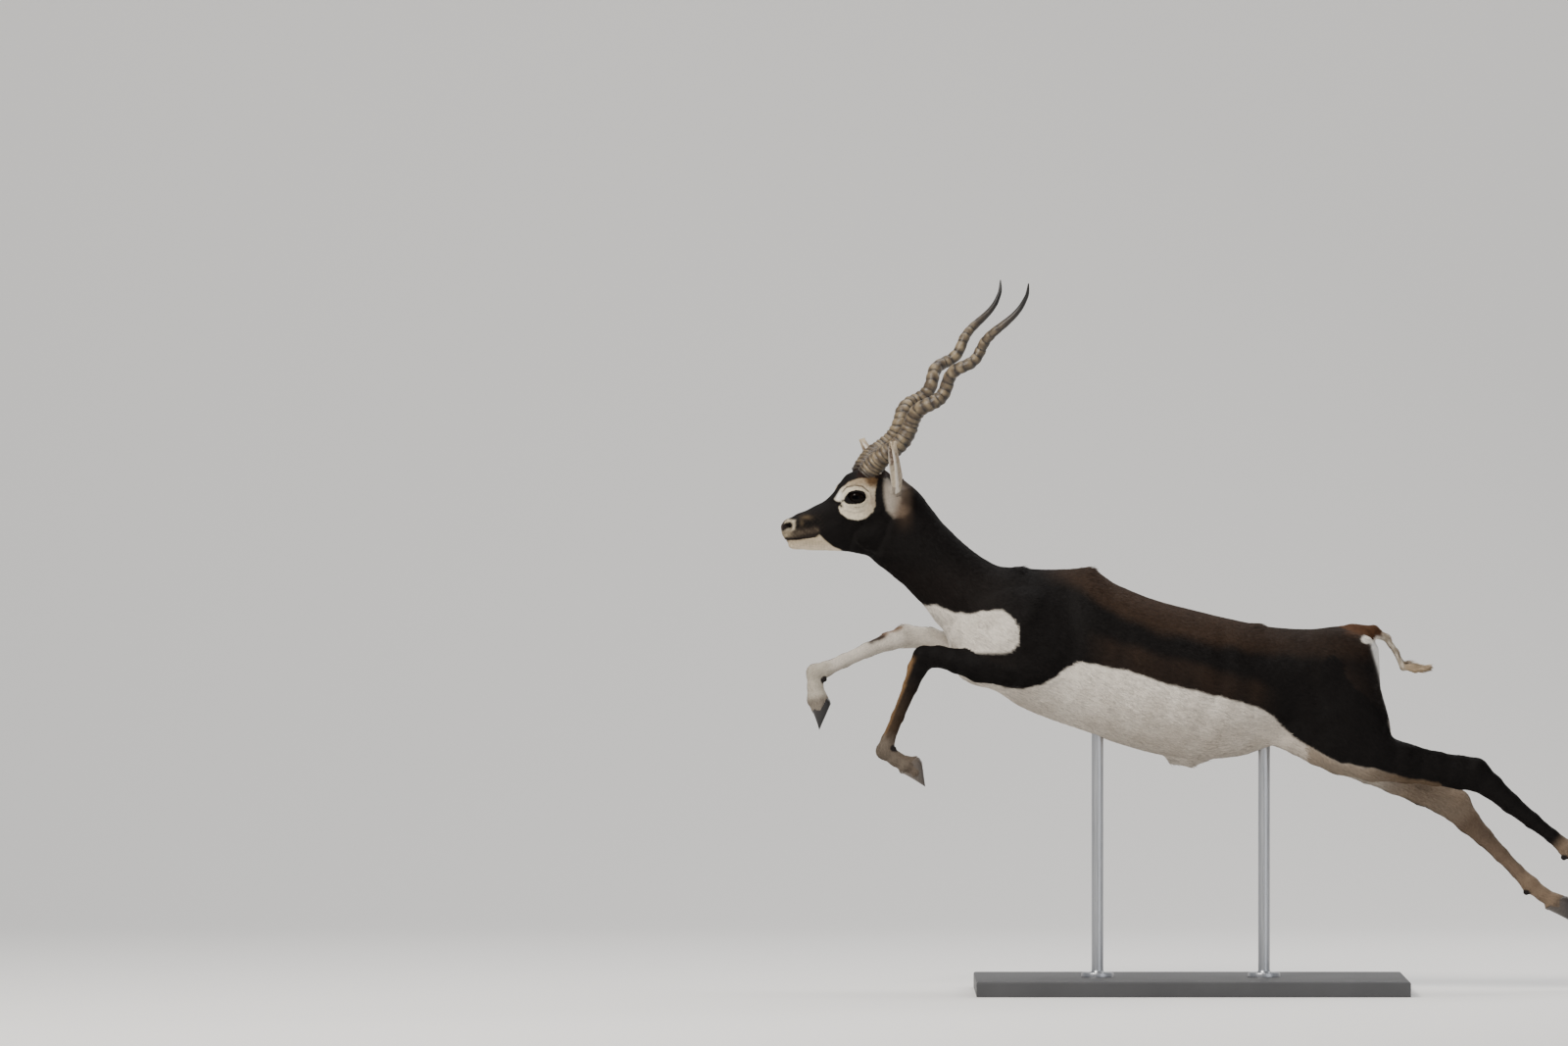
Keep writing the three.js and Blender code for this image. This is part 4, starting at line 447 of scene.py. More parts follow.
def quad_normals(P, Q):
    n = np.cross(P[Q[:, 2]] - P[Q[:, 0]], P[Q[:, 3]] - P[Q[:, 1]])
    V = np.stack([np.bincount(Q.ravel(), np.repeat(n[:, i], 4), len(P)) for i in range(3)], 1)
    return V / (np.linalg.norm(V, axis=1, keepdims=True) + 1e-12)


def relax(P, Q, steps, amount):
    e = np.concatenate([Q[:, [0, 1]], Q[:, [1, 2]], Q[:, [2, 3]], Q[:, [3, 0]]])
    deg = np.bincount(e[:, 0], minlength=len(P)) + np.bincount(e[:, 1], minlength=len(P))
    for _ in range(steps):
        S = np.stack([np.bincount(e[:, 0], P[e[:, 1], i], len(P)) + np.bincount(e[:, 1], P[e[:, 0], i], len(P)) for i in range(3)], 1) / deg[:, None]
        P = P + (S - P) * (amount[:, None] if np.ndim(amount) else amount)
    return P


# ---------------------------------------------------------------- small sculpted forms
def seg_dist(u, w, a, b):
    ax, ay, bx, by = a[0], a[1], b[0], b[1]
    L = (bx - ax) ** 2 + (by - ay) ** 2
    t = np.clip(((u - ax) * (bx - ax) + (w - ay) * (by - ay)) / L, 0, 1)
    return np.hypot(u - ax - t * (bx - ax), w - ay - t * (by - ay)), t


def path_dist(u, w, pts):
    d = np.full(np.shape(u), 1e9)
    for a, b in zip(pts[:-1], pts[1:]):
        d = np.minimum(d, seg_dist(u, w, a, b)[0])
    return d


def ell(u, w, cu, cw, ru, rw, deg=0.0):
    c, s = math.cos(rad(deg)), math.sin(rad(deg))
    du, dw = u - cu, w - cw
    return np.exp(-(((du * c + dw * s) / ru) ** 2 + ((-du * s + dw * c) / rw) ** 2))


def sculpt(P, N):
    u, w = U0 + P[:, 0] / UNIT, W0 - P[:, 2] / UNIT
    lat = np.clip(np.abs(N[:, 1]) * 1.4 - 0.2, 0, 1)
    bodyish = 1 - ss(945, 925, u) * ss(590, 575, w)
    outer = (np.abs(P[:, 1]) > 36)
    D = np.zeros(len(P))
    grooves = [([(1062, 600), (1048, 630), (1022, 652)], 9, 2.6), ([(1088, 605), (1096, 650), (1092, 684)], 10, -3.6), ([(1012, 640), (1040, 668), (1066, 682)], 7, -2.4),
               ([(1250, 642), (1246, 690), (1225, 742)], 9, -2.0), ([(1398, 668), (1404, 700), (1412, 738)], 5, -2.4), ([(1338, 690), (1348, 730), (1372, 768)], 8, -2.2),
               ([(1322, 742), (1336, 758), (1352, 776)], 7, 2.4), ([(918, 560), (950, 598), (985, 630)], 7, -2.2), ([(1440, 768), (1470, 775), (1498, 779)], 4, -2.6),
               ([(1424, 782), (1450, 796), (1480, 806)], 4, -1.6), ([(1000, 672), (970, 667), (950, 664)], 4, -1.5)]
    for pts, width, amp in grooves:
        D += amp * np.exp(-(path_dist(u, w, pts) / width) ** 2) * lat * outer
    for cu, cw, ru, rw, dg, amp in [(1066, 654, 26, 18, 30, 3.4), (1086, 690, 9, 7, 0, 2.6), (1292, 668, 26, 15, -8, -4.5), (1322, 654, 12, 7, 20, 3.4), (1346, 726, 26, 16, 60, 2.6),
                                    (1385, 700, 12, 34, 0, 2.0), (1030, 622, 22, 12, 60, 1.6), (1506, 776, 7, 6, 0, 1.6), (943, 662, 9, 6, 0, 1.2), (1000, 600, 24, 12, -45, 1.6)]:
        D += amp * ell(u, w, cu, cw, ru, rw, dg) * lat * outer
    ribs = ss(1098, 1120, u) * ss(1258, 1235, u) * ss(625, 655, w) * ss(752, 725, w)
    D += 0.22 * np.sin((u + (w - 690) * 0.32 + 3 * wave(P, 160, 71)) * (2 * math.pi / 16.5)) * ribs * lat * np.clip(0.6 + 0.6 * wave(P, 120, 72), 0, 1)
    D *= bodyish
    # face, mirrored from the near side
    a, b, c = to_head(P[:, 0], P[:, 1], P[:, 2])
    hu, hw = U0 + a / UNIT, W0 - c / UNIT
    head = ss(940, 920, u) * ss(600, 585, w) * (P[:, 2] < Z(478))
    n2 = np.clip(np.abs(N[:, 1]) * 1.5 - 0.3, 0, 1)
    E = np.zeros(len(P))
    for pts, width, amp in [([(856, 529), (874, 532), (892, 522)], 4.0, 1.5), ([(866, 560), (869, 545), (878, 532)], 3.5, -1.3), ([(812, 541), (828, 536), (846, 531)], 5, -0.9),
                            ([(832, 549), (845, 553), (862, 556)], 3, -0.7), ([(847, 509), (853, 500), (861, 493), (872, 488)], 2.6, 1.3), ([(800, 531), (806, 532), (809, 536)], 2.0, 0.9),
                            ([(805, 543), (818, 545), (830, 545)], 2.5, 0.7), ([(806, 553), (820, 553), (832, 552)], 2.5, 0.6), ([(893, 560), (899, 545), (903, 530)], 4, -1.4)]:
        E += amp * np.exp(-(path_dist(hu, hw, pts) / width) ** 2)
    for cu, cw, ru, rw, dg, amp in [(842, 529, 13, 7, -10, -1.8), (850.5, 514.5, 1.7, 4.2, -25, -2.6), (893, 500, 6, 8, 0, -1.6), (878, 546, 12, 9, 0, 0.8), (836, 517, 12, 4, -28, -0.8)]:
        E += amp * ell(hu, hw, cu, cw, ru, rw, dg)
    D = D * (1 - head) + E * n2 * head
    return P + N * D[:, None]


# ---------------------------------------------------------------- lie of the coat
def pt(u, w, y): return np.array([X(u), y, Z(w)])


GUIDES = []  # (A, B, radius, direction, chart)
CHARTS = {"trunk": (0.01, 0.01, 0.62, 0.56), "neck": (0.64, 0.01, 0.99, 0.30), "head": (0.64, 0.32, 0.99, 0.68), "fl": (0.01, 0.58, 0.62, 0.67), "fr": (0.01, 0.68, 0.62, 0.77),
          "hl": (0.01, 0.78, 0.62, 0.87), "hr": (0.01, 0.88, 0.62, 0.97), "tail": (0.64, 0.70, 0.99, 0.76), "el": (0.64, 0.78, 0.81, 0.98), "er": (0.82, 0.78, 0.99, 0.98)}
CHART_ID = {k: i for i, k in enumerate(CHARTS)}
CHART_AXIS = {}


def guide(chart, pts, direction=None):
    CHART_AXIS.setdefault(chart, []).extend([p[0] for p in pts])
    for (A, ra), (B, rb) in zip(pts[:-1], pts[1:]):
        d = B - A if direction is None else np.array(direction, float)
        GUIDES.append((A, B, ra, rb, d / np.linalg.norm(d), CHART_ID[chart]))


guide("trunk", [(pt(985, 655, 0), 60), (pt(1040, 655, 0), 118), (pt(1180, 690, 0), 140), (pt(1300, 700, 0), 108), (pt(1398, 690, 0), 70)])
guide("neck", [(pt(912, 525, 0), 66), (pt(950, 570, 0), 66), (pt(1000, 615, 0), 72)])
hp = lambda u, w, y: np.array(from_head(X(u), y, Z(w)))
guide("head", [(hp(800, 543, 0), 12), (hp(825, 540, 0), 22), (hp(850, 534, 0), 36), (hp(880, 524, 0), 60), (hp(905, 525, 0), 62)])
for key, chain in (("fl", FORE[0]), ("fr", FORE[1])):
    guide(key, [(pt(j[0], j[1], j[2]), j[3]) for j in chain[1:]])
for key, chain in (("hl", HIND[0]), ("hr", HIND[1])):
    s_ = -1 if key == "hl" else 1
    guide(key, [(pt(1352, 690, s_ * 52), 40), (pt(1372, 745, s_ * 60), 44)] + [(pt(j[0], j[1], j[2]), j[3] * 0.7) for j in chain[1:]])
guide("tail", [(pt(j[0], j[1], j[2]), j[3]) for j in TAIL])
for s_, key in ((-1, "el"), (1, "er")):
    foot, a_, b_, c_, n_ = ear_frame(s_)
    e0, e1 = foot + a_ * 8, foot + a_ * n_
    guide(key, [(np.array(from_head(*e0)), 6), (np.array(from_head(*e1)), 6)])


def lay(P, N):
    """direction of the hair at each point, and the part of the body it belongs to"""
    acc = np.zeros((len(P), 3)); best = np.full(len(P), 1e9); who = np.zeros(len(P), int)
    for A, B, ra, rb, d, ch in GUIDES:
        b = B - A; L = float(b @ b)
        t = np.clip((P - A) @ b / L, 0, 1)
        dist = np.linalg.norm(P - A - t[:, None] * b, axis=1) - (ra + (rb - ra) * t)
        wgt = (0.12 if ch in (CHART_ID["el"], CHART_ID["er"]) else 1.0) / (np.maximum(dist, -6) + 14) ** 4
        acc += wgt[:, None] * d
        m = dist < best; best[m] = dist[m]; who[m] = ch
    u, w = U0 + P[:, 0] / UNIT, W0 - P[:, 2] / UNIT
    acc /= np.linalg.norm(acc, axis=1, keepdims=True) + 1e-12
    tr = who == CHART_ID["trunk"]
    acc[tr, 2] -= 0.30 * np.abs(N[tr, 1])
    th = ((who == CHART_ID["hl"]) | (who == CHART_ID["hr"])) & (u < 1410)
    acc[th] = acc[th] * 0.6 + np.array([0.55, 0, -0.45])
    T = acc - N * np.sum(acc * N, 1, keepdims=True)
    T /= np.linalg.norm(T, axis=1, keepdims=True) + 1e-9
    return T, who


def wave(P, scale, seed, n=7):
    r = np.random.default_rng(seed)
    K = r.normal(size=(n, 3)); K /= np.linalg.norm(K, axis=1, keepdims=True)
    K *= (r.uniform(0.6, 1.6, n) * 2 * math.pi / scale)[:, None]
    ph = r.uniform(0, 2 * math.pi, n)
    return np.sin(P @ K.T + ph).mean(1) * 1.6


def unwrap(P, who, ref=None):
    """place on a flat layout of the body: along each part's axis and round it"""
    UV = np.zeros((len(P), 2))
    for key, ch in CHART_ID.items():
        m = who == ch
        if not m.any(): continue
        p = P[m]; x0, y0, x1, y1 = CHARTS[key]
        if key in ("el", "er"):
            a, b, c = to_head(p[:, 0], p[:, 1], p[:, 2])
            t, v, w, n = ear_coords(-1 if key == "el" else 1, a, b, c)
            hw = ear_width(t); sn = math.sin(1.15)
            ang = np.arcsin(np.clip(v * sn / hw, -1, 1))
            cup = EAR_CUP * (0.55 + 0.45 * np.clip(t / 0.3, 0, 1)) * (1 - 0.5 * np.maximum(t, 0))
            mid = -cup * (np.cos(ang) - math.cos(1.15)) / (1 - math.cos(1.15))
            half = np.where(w > mid, 0.25, 0.75)
            uu, vv = np.clip((t + 0.1) / 1.15, 0, 1), half + 0.23 * np.clip(ang / 1.15, -1, 1)
        else:
            ax = np.array(CHART_AXIS[key]); seg = np.diff(ax, axis=0); sl = np.linalg.norm(seg, axis=1); cum = np.concatenate([[0], np.cumsum(sl)])
            bd = np.full(len(p), 1e9); ss_ = np.zeros(len(p)); off = np.zeros((len(p), 3)); dr = np.zeros((len(p), 3))
            for i in range(len(seg)):
                d = seg[i] / sl[i]
                t = (p - ax[i]) @ d
                lo = -80 if i == 0 else 0; hi = sl[i] + (80 if i == len(seg) - 1 else 0)
                tc = np.clip(t, lo, hi)
                o = p - ax[i] - tc[:, None] * d; dd = np.linalg.norm(o, axis=1)
                q = dd < bd; bd[q] = dd[q]; ss_[q] = cum[i] + tc[q]; off[q] = o[q]; dr[q] = d
            up = np.array([0.0, 0, 1]) if key not in ("hl", "hr", "fl", "fr") else np.array([0.35, 0, 0.94])
            side = np.cross(dr, up); side /= np.linalg.norm(side, axis=1, keepdims=True) + 1e-9
            top = np.cross(side, dr)
            th = np.arctan2(np.sum(off * side, 1), np.sum(off * top, 1))
            uu, vv = np.clip((ss_ + 80) / (cum[-1] + 160), 0, 1), 0.5 + th / (2 * math.pi) * 0.97
        UV[m, 0] = x0 + (x1 - x0) * uu; UV[m, 1] = y0 + (y1 - y0) * vv
    return UV


# ---------------------------------------------------------------- markings
def rgb(r, g, b):
    s = lambda c: (c / 255 / 12.92) if c / 255 <= 0.04045 else ((c / 255 + 0.055) / 1.055) ** 2.4
    return np.array([s(r), s(g), s(b)])


BLACK, SHEEN, WHITE, CREAM, GREY = rgb(15, 12, 11), rgb(56, 41, 30), rgb(214, 206, 194), rgb(196, 182, 160), rgb(150, 141, 130)
TAN, RUFOUS, BROWN, DARKB, NOSE, RIM = rgb(158, 122, 84), rgb(78, 52, 34), rgb(88, 66, 50), rgb(56, 43, 36), rgb(30, 26, 25), rgb(16, 12, 12)


def inside(u, w, pts, soft):
    """1 inside a drawn outline, 0 outside, over a soft edge"""
    pts = np.array(pts, float); d = np.full(np.shape(u), 1e9); odd = np.zeros(np.shape(u), bool)
    for a, b in zip(pts, np.roll(pts, -1, axis=0)):
        d = np.minimum(d, seg_dist(u, w, a, b)[0])
        c = ((a[1] > w) != (b[1] > w)) & (u < (b[0] - a[0]) * (w - a[1]) / (b[1] - a[1] + 1e-12) + a[0])
        odd ^= c
    return ss(-soft, soft, np.where(odd, d, -d))


RING = [(849.3, 504), (851.6, 499.5), (858, 498), (866, 491.5), (876, 487.5), (888, 486.5), (895, 489), (894, 497), (892.5, 505), (893.5, 514), (890.5, 522), (884, 528), (875, 530.5), (865, 528.5), (857.5, 523),
        (855.5, 517), (859, 512), (854, 511.5), (850, 508.5)]
CHIN = [(799, 551.5), (815, 551), (832, 547.5), (836, 545), (842, 551), (850, 557.5), (858, 561), (864, 570), (795, 570)]
EARPATCH = [(902, 488), (909, 486), (921, 489), (931, 503), (930, 520), (922, 527), (912, 528), (905, 520), (902, 506)]
BELLY = np.array([(1000, 700.5), (1020, 701.5), (1042, 702), (1055, 700), (1070, 694), (1085, 683), (1095, 676), (1105, 674.5), (1130, 680), (1150, 683), (1170, 690), (1190, 697), (1220, 704), (1240, 709), (1260, 714), (1280, 720), (1290, 724.5),
                  (1299, 731), (1309, 742.5), (1321, 752.5), (1336, 761), (1350, 770), (1367, 777.5), (1386, 781), (1405, 784), (1424, 790), (1442, 794), (1467, 797), (1480, 812)], float)
CHEST = np.array([(900, 560), (925, 606), (943, 617), (955, 617.5), (965, 621.5), (975, 625.5), (990, 625.5), (1010, 621.5), (1022, 621.5), (1030, 627), (1036, 634), (1039.5, 645), (1040, 700)], float)


def mark(P, N, who, lean=0.0):
    n = len(P)
    u, w, y = U0 + P[:, 0] / UNIT, W0 - P[:, 2] / UNIT, P[:, 1]
    j = wave(P, 26, 5) * 1.6 + wave(P, 9, 6) * 1.1
    uj, wj = u + 0.35 * j, w + 0.5 * j
    C = np.repeat(BLACK[None], n, 0)
    # painted sheen on the back, a band left black under it as painted shadow, then painted sheen on the browner flank
    mott = wave(P, 70, 3)
    upper = np.interp(u, [1060, 1100, 1140, 1180, 1240, 1300, 1360, 1410], [588, 600, 628, 644, 658, 668, 670, 672])
    shadow_band_lower = np.interp(u, [1060, 1100, 1140, 1180, 1240, 1300, 1330], [612, 636, 652, 664, 680, 698, 712])
    back = ss(7, -9, w - upper + 2.5 * mott) * ss(1050, 1105, u)
    back = back * (0.55 + 0.45 * ss(1330, 1240, u)) * (0.9 + 0.08 * mott)
    flank = ss(-5, 9, w - shadow_band_lower + 2 * mott) * ss(1100, 1135, u) * ss(1312, 1270, u)
    C = mix(C, SHEEN, np.clip(0.80 * back + 0.42 * flank * (0.8 + 0.3 * mott), 0, 1))
    rumpb = ss(1330, 1380, u) * ss(640, 660, w) * ss(740, 690, w)
    neckb = ss(1060, 1000, u) * ss(560, 600, w) * 0.5
    C = mix(C, rgb(44, 33, 26), np.clip(0.45 * rumpb * (0.6 + 0.5 * mott) + 0.25 * neckb, 0, 1))
    # belly and chest
    belly = ss(-1.6, 1.6, wj - np.interp(uj, BELLY[:, 0], BELLY[:, 1])) * (uj > 1002)
    chest = ss(-1.6, 1.6, wj - np.interp(uj, CHEST[:, 0], CHEST[:, 1])) * ss(1041.5, 1038.5, uj) * (1 - ss(-2, 3, w - np.interp(u, [1022, 1031, 1036, 1040.5], [664.5, 663, 658, 650])) * ss(38, 50, np.abs(y)) * (u > 985))
    pale = np.maximum(belly, chest) * (w > 600)
    # the pale coat greys toward the underside and at the lower front of the chest as painted shade, with some random
    # tone
    wh = mix(WHITE, rgb(154, 141, 127), np.clip(ss(690, 768, w) * 0.55 + ss(1090, 1040, u) * ss(672, 700, w) * 0.35 + 0.12 * wave(P, 40, 8), 0, 1))
    legs = {k: who == CHART_ID[k] for k in ("fl", "fr", "hl", "hr")}
    isleg = legs["fl"] | legs["fr"] | legs["hl"] | legs["hr"]
    # thin white line down the back of the thigh
    rearw = np.exp(-(np.minimum(u - np.interp(w, [648, 660, 668, 685, 702, 722], [1398, 1400.5, 1402.5, 1407.5, 1412, 1416]), 0) / 2.2) ** 2) * ss(728, 714, w) * (u < 1425) * ss(645, 650, w) * (who != CHART_ID["tail"])
    tr = ~isleg & (who != CHART_ID["head"]) & (who != CHART_ID["tail"]) & (who != CHART_ID["el"]) & (who != CHART_ID["er"])
    C[tr] = mix(C[tr], wh[tr], pale[tr])
    # legs: dark outside, pale inside
    for key, chain in (("fl", FORE[0]), ("fr", FORE[1]), ("hl", HIND[0]), ("hr", HIND[1])):
        m = legs[key]
        if not m.any(): continue
        side = -1 if key[1] == "l" else 1
        pm, um, wm = P[m], uj[m], wj[m]
        ch = np.array([[X(c[0]), c[2], Z(c[1]), c[3]] for c in chain])
        seg = np.diff(ch[:, [0, 2]], axis=0); sl = np.linalg.norm(seg, axis=1); cum = np.concatenate([[0], np.cumsum(sl)])
        bd = np.full(len(pm), 1e9); s_ = np.zeros(len(pm)); fr = np.zeros(len(pm)); yc = np.zeros(len(pm))
        for i in range(len(seg)):
            d = seg[i] / sl[i]; q = pm[:, [0, 2]] - ch[i, [0, 2]]
            t = np.clip(q @ d, 0, sl[i]); o = q - t[:, None] * d; dd = np.linalg.norm(o, axis=1)
            k = dd < bd; bd[k] = dd[k]; s_[k] = cum[i] + t[k]
            cr = d[0] * q[:, 1] - d[1] * q[:, 0]; fr[k] = (cr / (ch[i, 3] + 1))[k]; yc[k] = (ch[i, 1] + (ch[i + 1, 1] - ch[i, 1]) * t / sl[i])[k]
        out = side * (pm[:, 1] - yc) + 3.0 * wave(pm, 30, 9)
        total = cum[-1]
        # fr > 0 is to the left of the way down the leg: the front of a fore leg's dark side is there for neither or both, so it is turned per leg
        front = -fr if key[0] == "f" else fr
        if key[0] == "f":
            carp = cum[5] if key == "fl" else cum[4]; fet = cum[10] if key == "fl" else cum[9]
            outer = ss(-5, 3, out)
            base = mix(mix(wh[m] * 0.92, GREY, 0.25), BLACK, outer)
            low = ss(carp + 20, fet - 20, s_)
            tanf = ss(0.3, 0.8, front) * ss(carp + 2, carp + 24, s_) * (1 - ss(fet - 30, fet, s_))
            colr = mix(base, rgb(118, 91, 62), tanf * (0.85 * outer + 0.25) * (1 if key == "fl" else 0.2))
            patch = ss(0.0, 0.5, front + 0.15 * wave(pm, 14, 34)) * np.exp(-((s_ - carp - 26) / 19) ** 2)
            if key == "fr":
                colr = mix(colr, rgb(104, 76, 54), 0.85 * np.exp(-(path_dist(um, wm, [(898, 649), (908, 644.5), (919, 640.5)]) / 3.2) ** 2) * ss(-0.1, 0.4, front))
                colr = mix(colr, rgb(44, 33, 27), 0.95 * np.exp(-(path_dist(um, wm, [(888.5, 655.5), (894, 652), (901, 649.5)]) / 2.8) ** 2))
            colr = mix(colr, rgb(84, 66, 50), 0.5 * low * outer)
            # the rear part of the pale inner side is greyed: painted shade
            colr = mix(colr, rgb(150, 142, 130), 0.45 * (1 - outer) * ss(-0.2, -0.8, front))
            foot = ss(fet - 40, fet - 14, s_ + 6 * wave(pm, 12, 33))
            colr = mix(colr, mix(rgb(100, 90, 79), rgb(172, 164, 150), 1 - outer), foot)
            colr = mix(colr, rgb(92, 80, 68), 0.55 * foot * ss(0.1, 0.7, -front) * outer)
            if key == "fl":
                upper = 1 - ss(carp - 60, carp - 20, s_)
                pale_in = mix(wh[m] * 0.95, BLACK, ss(-9, -1, out))
                colr = mix(colr, pale_in, upper)
        else:
            fet = cum[10]; hock = cum[5]
            up = 1 - ss(30, 120, s_)
            outer = ss(-7, 1, out)
            inner = mix(wh[m] * 0.85, rgb(112, 94, 76), 0.8 * ss(40, 150, s_))
            colr = mix(inner, BLACK, outer)
            bline = ss(-1.6, 1.6, wm - np.interp(um, BELLY[:, 0], BELLY[:, 1]))
            colr = mix(colr, mix(BLACK, wh[m] * 0.85, bline), up * (um < 1425))
            if key == "hl": colr = mix(colr, mix(rgb(140, 127, 112), rgb(92, 76, 60), ss(1370, 1440, um)), bline * (um < 1470))
            tanr = ss(hock + 10, hock + 50, s_) * (1 - outer)
            colr = mix(colr, BROWN, 0.5 * tanr)
            foot = ss(fet - 34, fet - 6, s_)
            colr = mix(colr, rgb(122, 104, 86), 0.9 * foot)
        crown = ss(total - 26, total - 10, s_)
        colr = mix(colr, rgb(96, 84, 74), 0.6 * crown)
        C[m] = colr
    for du, dw, s_ in DEW:
        for yy in (58, 42):
            d = np.linalg.norm((P - pt(du, dw, s_ * yy)) / np.array([9.5, 8, 8]), axis=1)
            C = mix(C, NOSE, ss(1.05, 0.8, d))
    # rump patch and tail
    C = mix(C, rgb(204, 200, 194), rearw)
    rt = ss(1366, 1384, u) * ss(651, 644, w + 1.5 * wave(P, 18, 31)) * (who != CHART_ID["tail"]) * (u < 1425)
    C = mix(C, RUFOUS, 0.85 * rt)
    rump = ss(1.25, 0.8, np.sqrt(((u - 1396.5) / 8.0) ** 2 + ((w - 651.5 + 0.10 * (u - 1393)) / 4.8) ** 2)) * (who != CHART_ID["tail"])
    C = mix(C, WHITE, np.clip(rump, 0, 1))
    m = (who == CHART_ID["tail"]) | ((u > 1416) & (w < 695) & (np.abs(y) < 40))
    if m.any():
        um, wm = u[m], w[m]
        mid = np.interp(um, [j[0] for j in TAIL], [j[1] for j in TAIL])
        tb = ss(1416, 1405, um + 0.6 * (wm - 648))
        streak = np.clip(0.5 + 0.9 * wave(P[m] * np.array([1, 1, 0.35]), 9, 12), 0, 1)
        tl = mix(rgb(190, 180, 164), rgb(150, 138, 122), streak)
        upside = ss(-0.1, 0.6, N[m, 0] * 0.8 + N[m, 2] * 0.6)
        tl = mix(tl, rgb(104, 86, 68), 0.6 * upside * ss(1414, 1419, um) * ss(1431, 1426, um) * streak)
        tl = mix(tl, rgb(176, 154, 126), ss(1430, 1437, um) * 0.9)
        # the side of the tail's bend that faces down and toward the rump is darkened: painted shade
        tl = mix(tl, rgb(66, 56, 49), 0.7 * ss(-0.45, -0.85, N[m, 0] * 0.75 + N[m, 2] * 0.65) * ss(1412, 1420, um) * ss(1430, 1424, um))
        base_ = mix(RUFOUS, WHITE, ss(-0.1, -0.6, N[m, 2]) * ss(1384, 1390, um))
        C[m] = mix(tl, base_, tb)
    # head, drawn on the near side and mirrored
    a, b, c = to_head(P[:, 0], P[:, 1], P[:, 2])
    nx, ny, nz = from_head(a, -np.abs(b), c)
    hu, hw = U0 + nx / UNIT, W0 - nz / UNIT
    jj = 0.45 * wave(P, 7, 14) + 0.3 * wave(P, 3.2, 15)
    hu, hw = hu + jj, hw + jj * 0.8
    hm = (who == CHART_ID["head"]) | ((u < 935) & (w < 575) & (who == CHART_ID["neck"]))
    q = np.where(hm)[0]
    if len(q):
        U, W, B = hu[q], hw[q], np.abs(b[q])
        wv = wave(P[q], 10, 17)
        H = np.repeat(rgb(16, 13, 12)[None], len(q), 0)
        # upward-facing parts of the face toward the muzzle are lightened to grey: painted highlight
        H = mix(H, rgb(30, 27, 27), 0.5 * ss(0.2, 0.9, N[q, 2]) * ss(900, 850, U))
        nape = ss(908, 924, U) * ss(548, 515, W) * ss(474, 486, W)
        H = mix(H, rgb(70, 55, 43), 0.8 * nape)
        H = mix(H, mix(rgb(152, 143, 131), rgb(96, 80, 66), ss(909, 925, U + 0.25 * (W - 505))), inside(U, W, EARPATCH, 3.0) * ss(18, 30, B))
        near = ss(16, 24, B)
        ring = inside(U, W, RING, 0.9) * near
        rc = mix(rgb(220, 208, 184), rgb(170, 156, 134), np.clip(0.8 * ss(874, 891, U) + 0.22 * wv, 0, 1))
        rc = mix(rc, rgb(150, 131, 104), ss(500, 491.5, W + 1.2 * wv) * 0.9 * ss(856, 863, U))
        rc = mix(rc, rgb(104, 76, 48), np.clip(ss(881, 888, U + 0.4 * (492 - W)) * ss(500, 491, W), 0, 1) * 0.9)
        rc = mix(rc, rgb(128, 112, 98), 0.55 * ss(883, 890, U) * ss(498, 508, W) * ss(522, 512, W))
        rc = mix(rc, rgb(240, 236, 228), np.exp(-(((U - 854.5) / 5.0) ** 2 + ((W - 505) / 5.0) ** 2)))
        rc = mix(rc, rgb(120, 108, 96), 0.3 * np.exp(-(path_dist(U, W, [(864, 516.6), (872, 518.8), (880, 516.8)]) / 0.9) ** 2) * np.clip(0.6 + 0.9 * wave(P[q], 4, 19), 0, 1))
        rc = mix(rc, rgb(120, 108, 96), 0.4 * np.exp(-(path_dist(U, W, [(862, 520.5), (872, 523), (882, 520.5)]) / 0.8) ** 2))
        # dark line along the crease of the upper lid: painted shadow
        rc = mix(rc, rgb(66, 55, 46), 0.9 * np.exp(-(path_dist(U, W, [(859.5, 501), (864, 496.5), (872, 494.6), (880, 496), (886, 501)]) / 0.85) ** 2))
        H = mix(H, rc, ring)
        du, dw = U - 873.2, W - 507.2 - 0.0
        tl_ = dw + 0.10 * du + np.clip(-du - 5, 0, 6) * -0.22
        eye_ = np.sqrt((du / np.where(du < 0, 11.6, 10.4)) ** 2 + (tl_ / np.where(tl_ < 0, 7.6, 6.6)) ** 2)
        H = mix(H, RIM, ss(1.10, 0.98, eye_) * near)
        H = mix(H, RIM, np.exp(-(path_dist(U, W, [(862.5, 509), (859.5, 511)]) / 1.1) ** 2) * 0.95 * near)
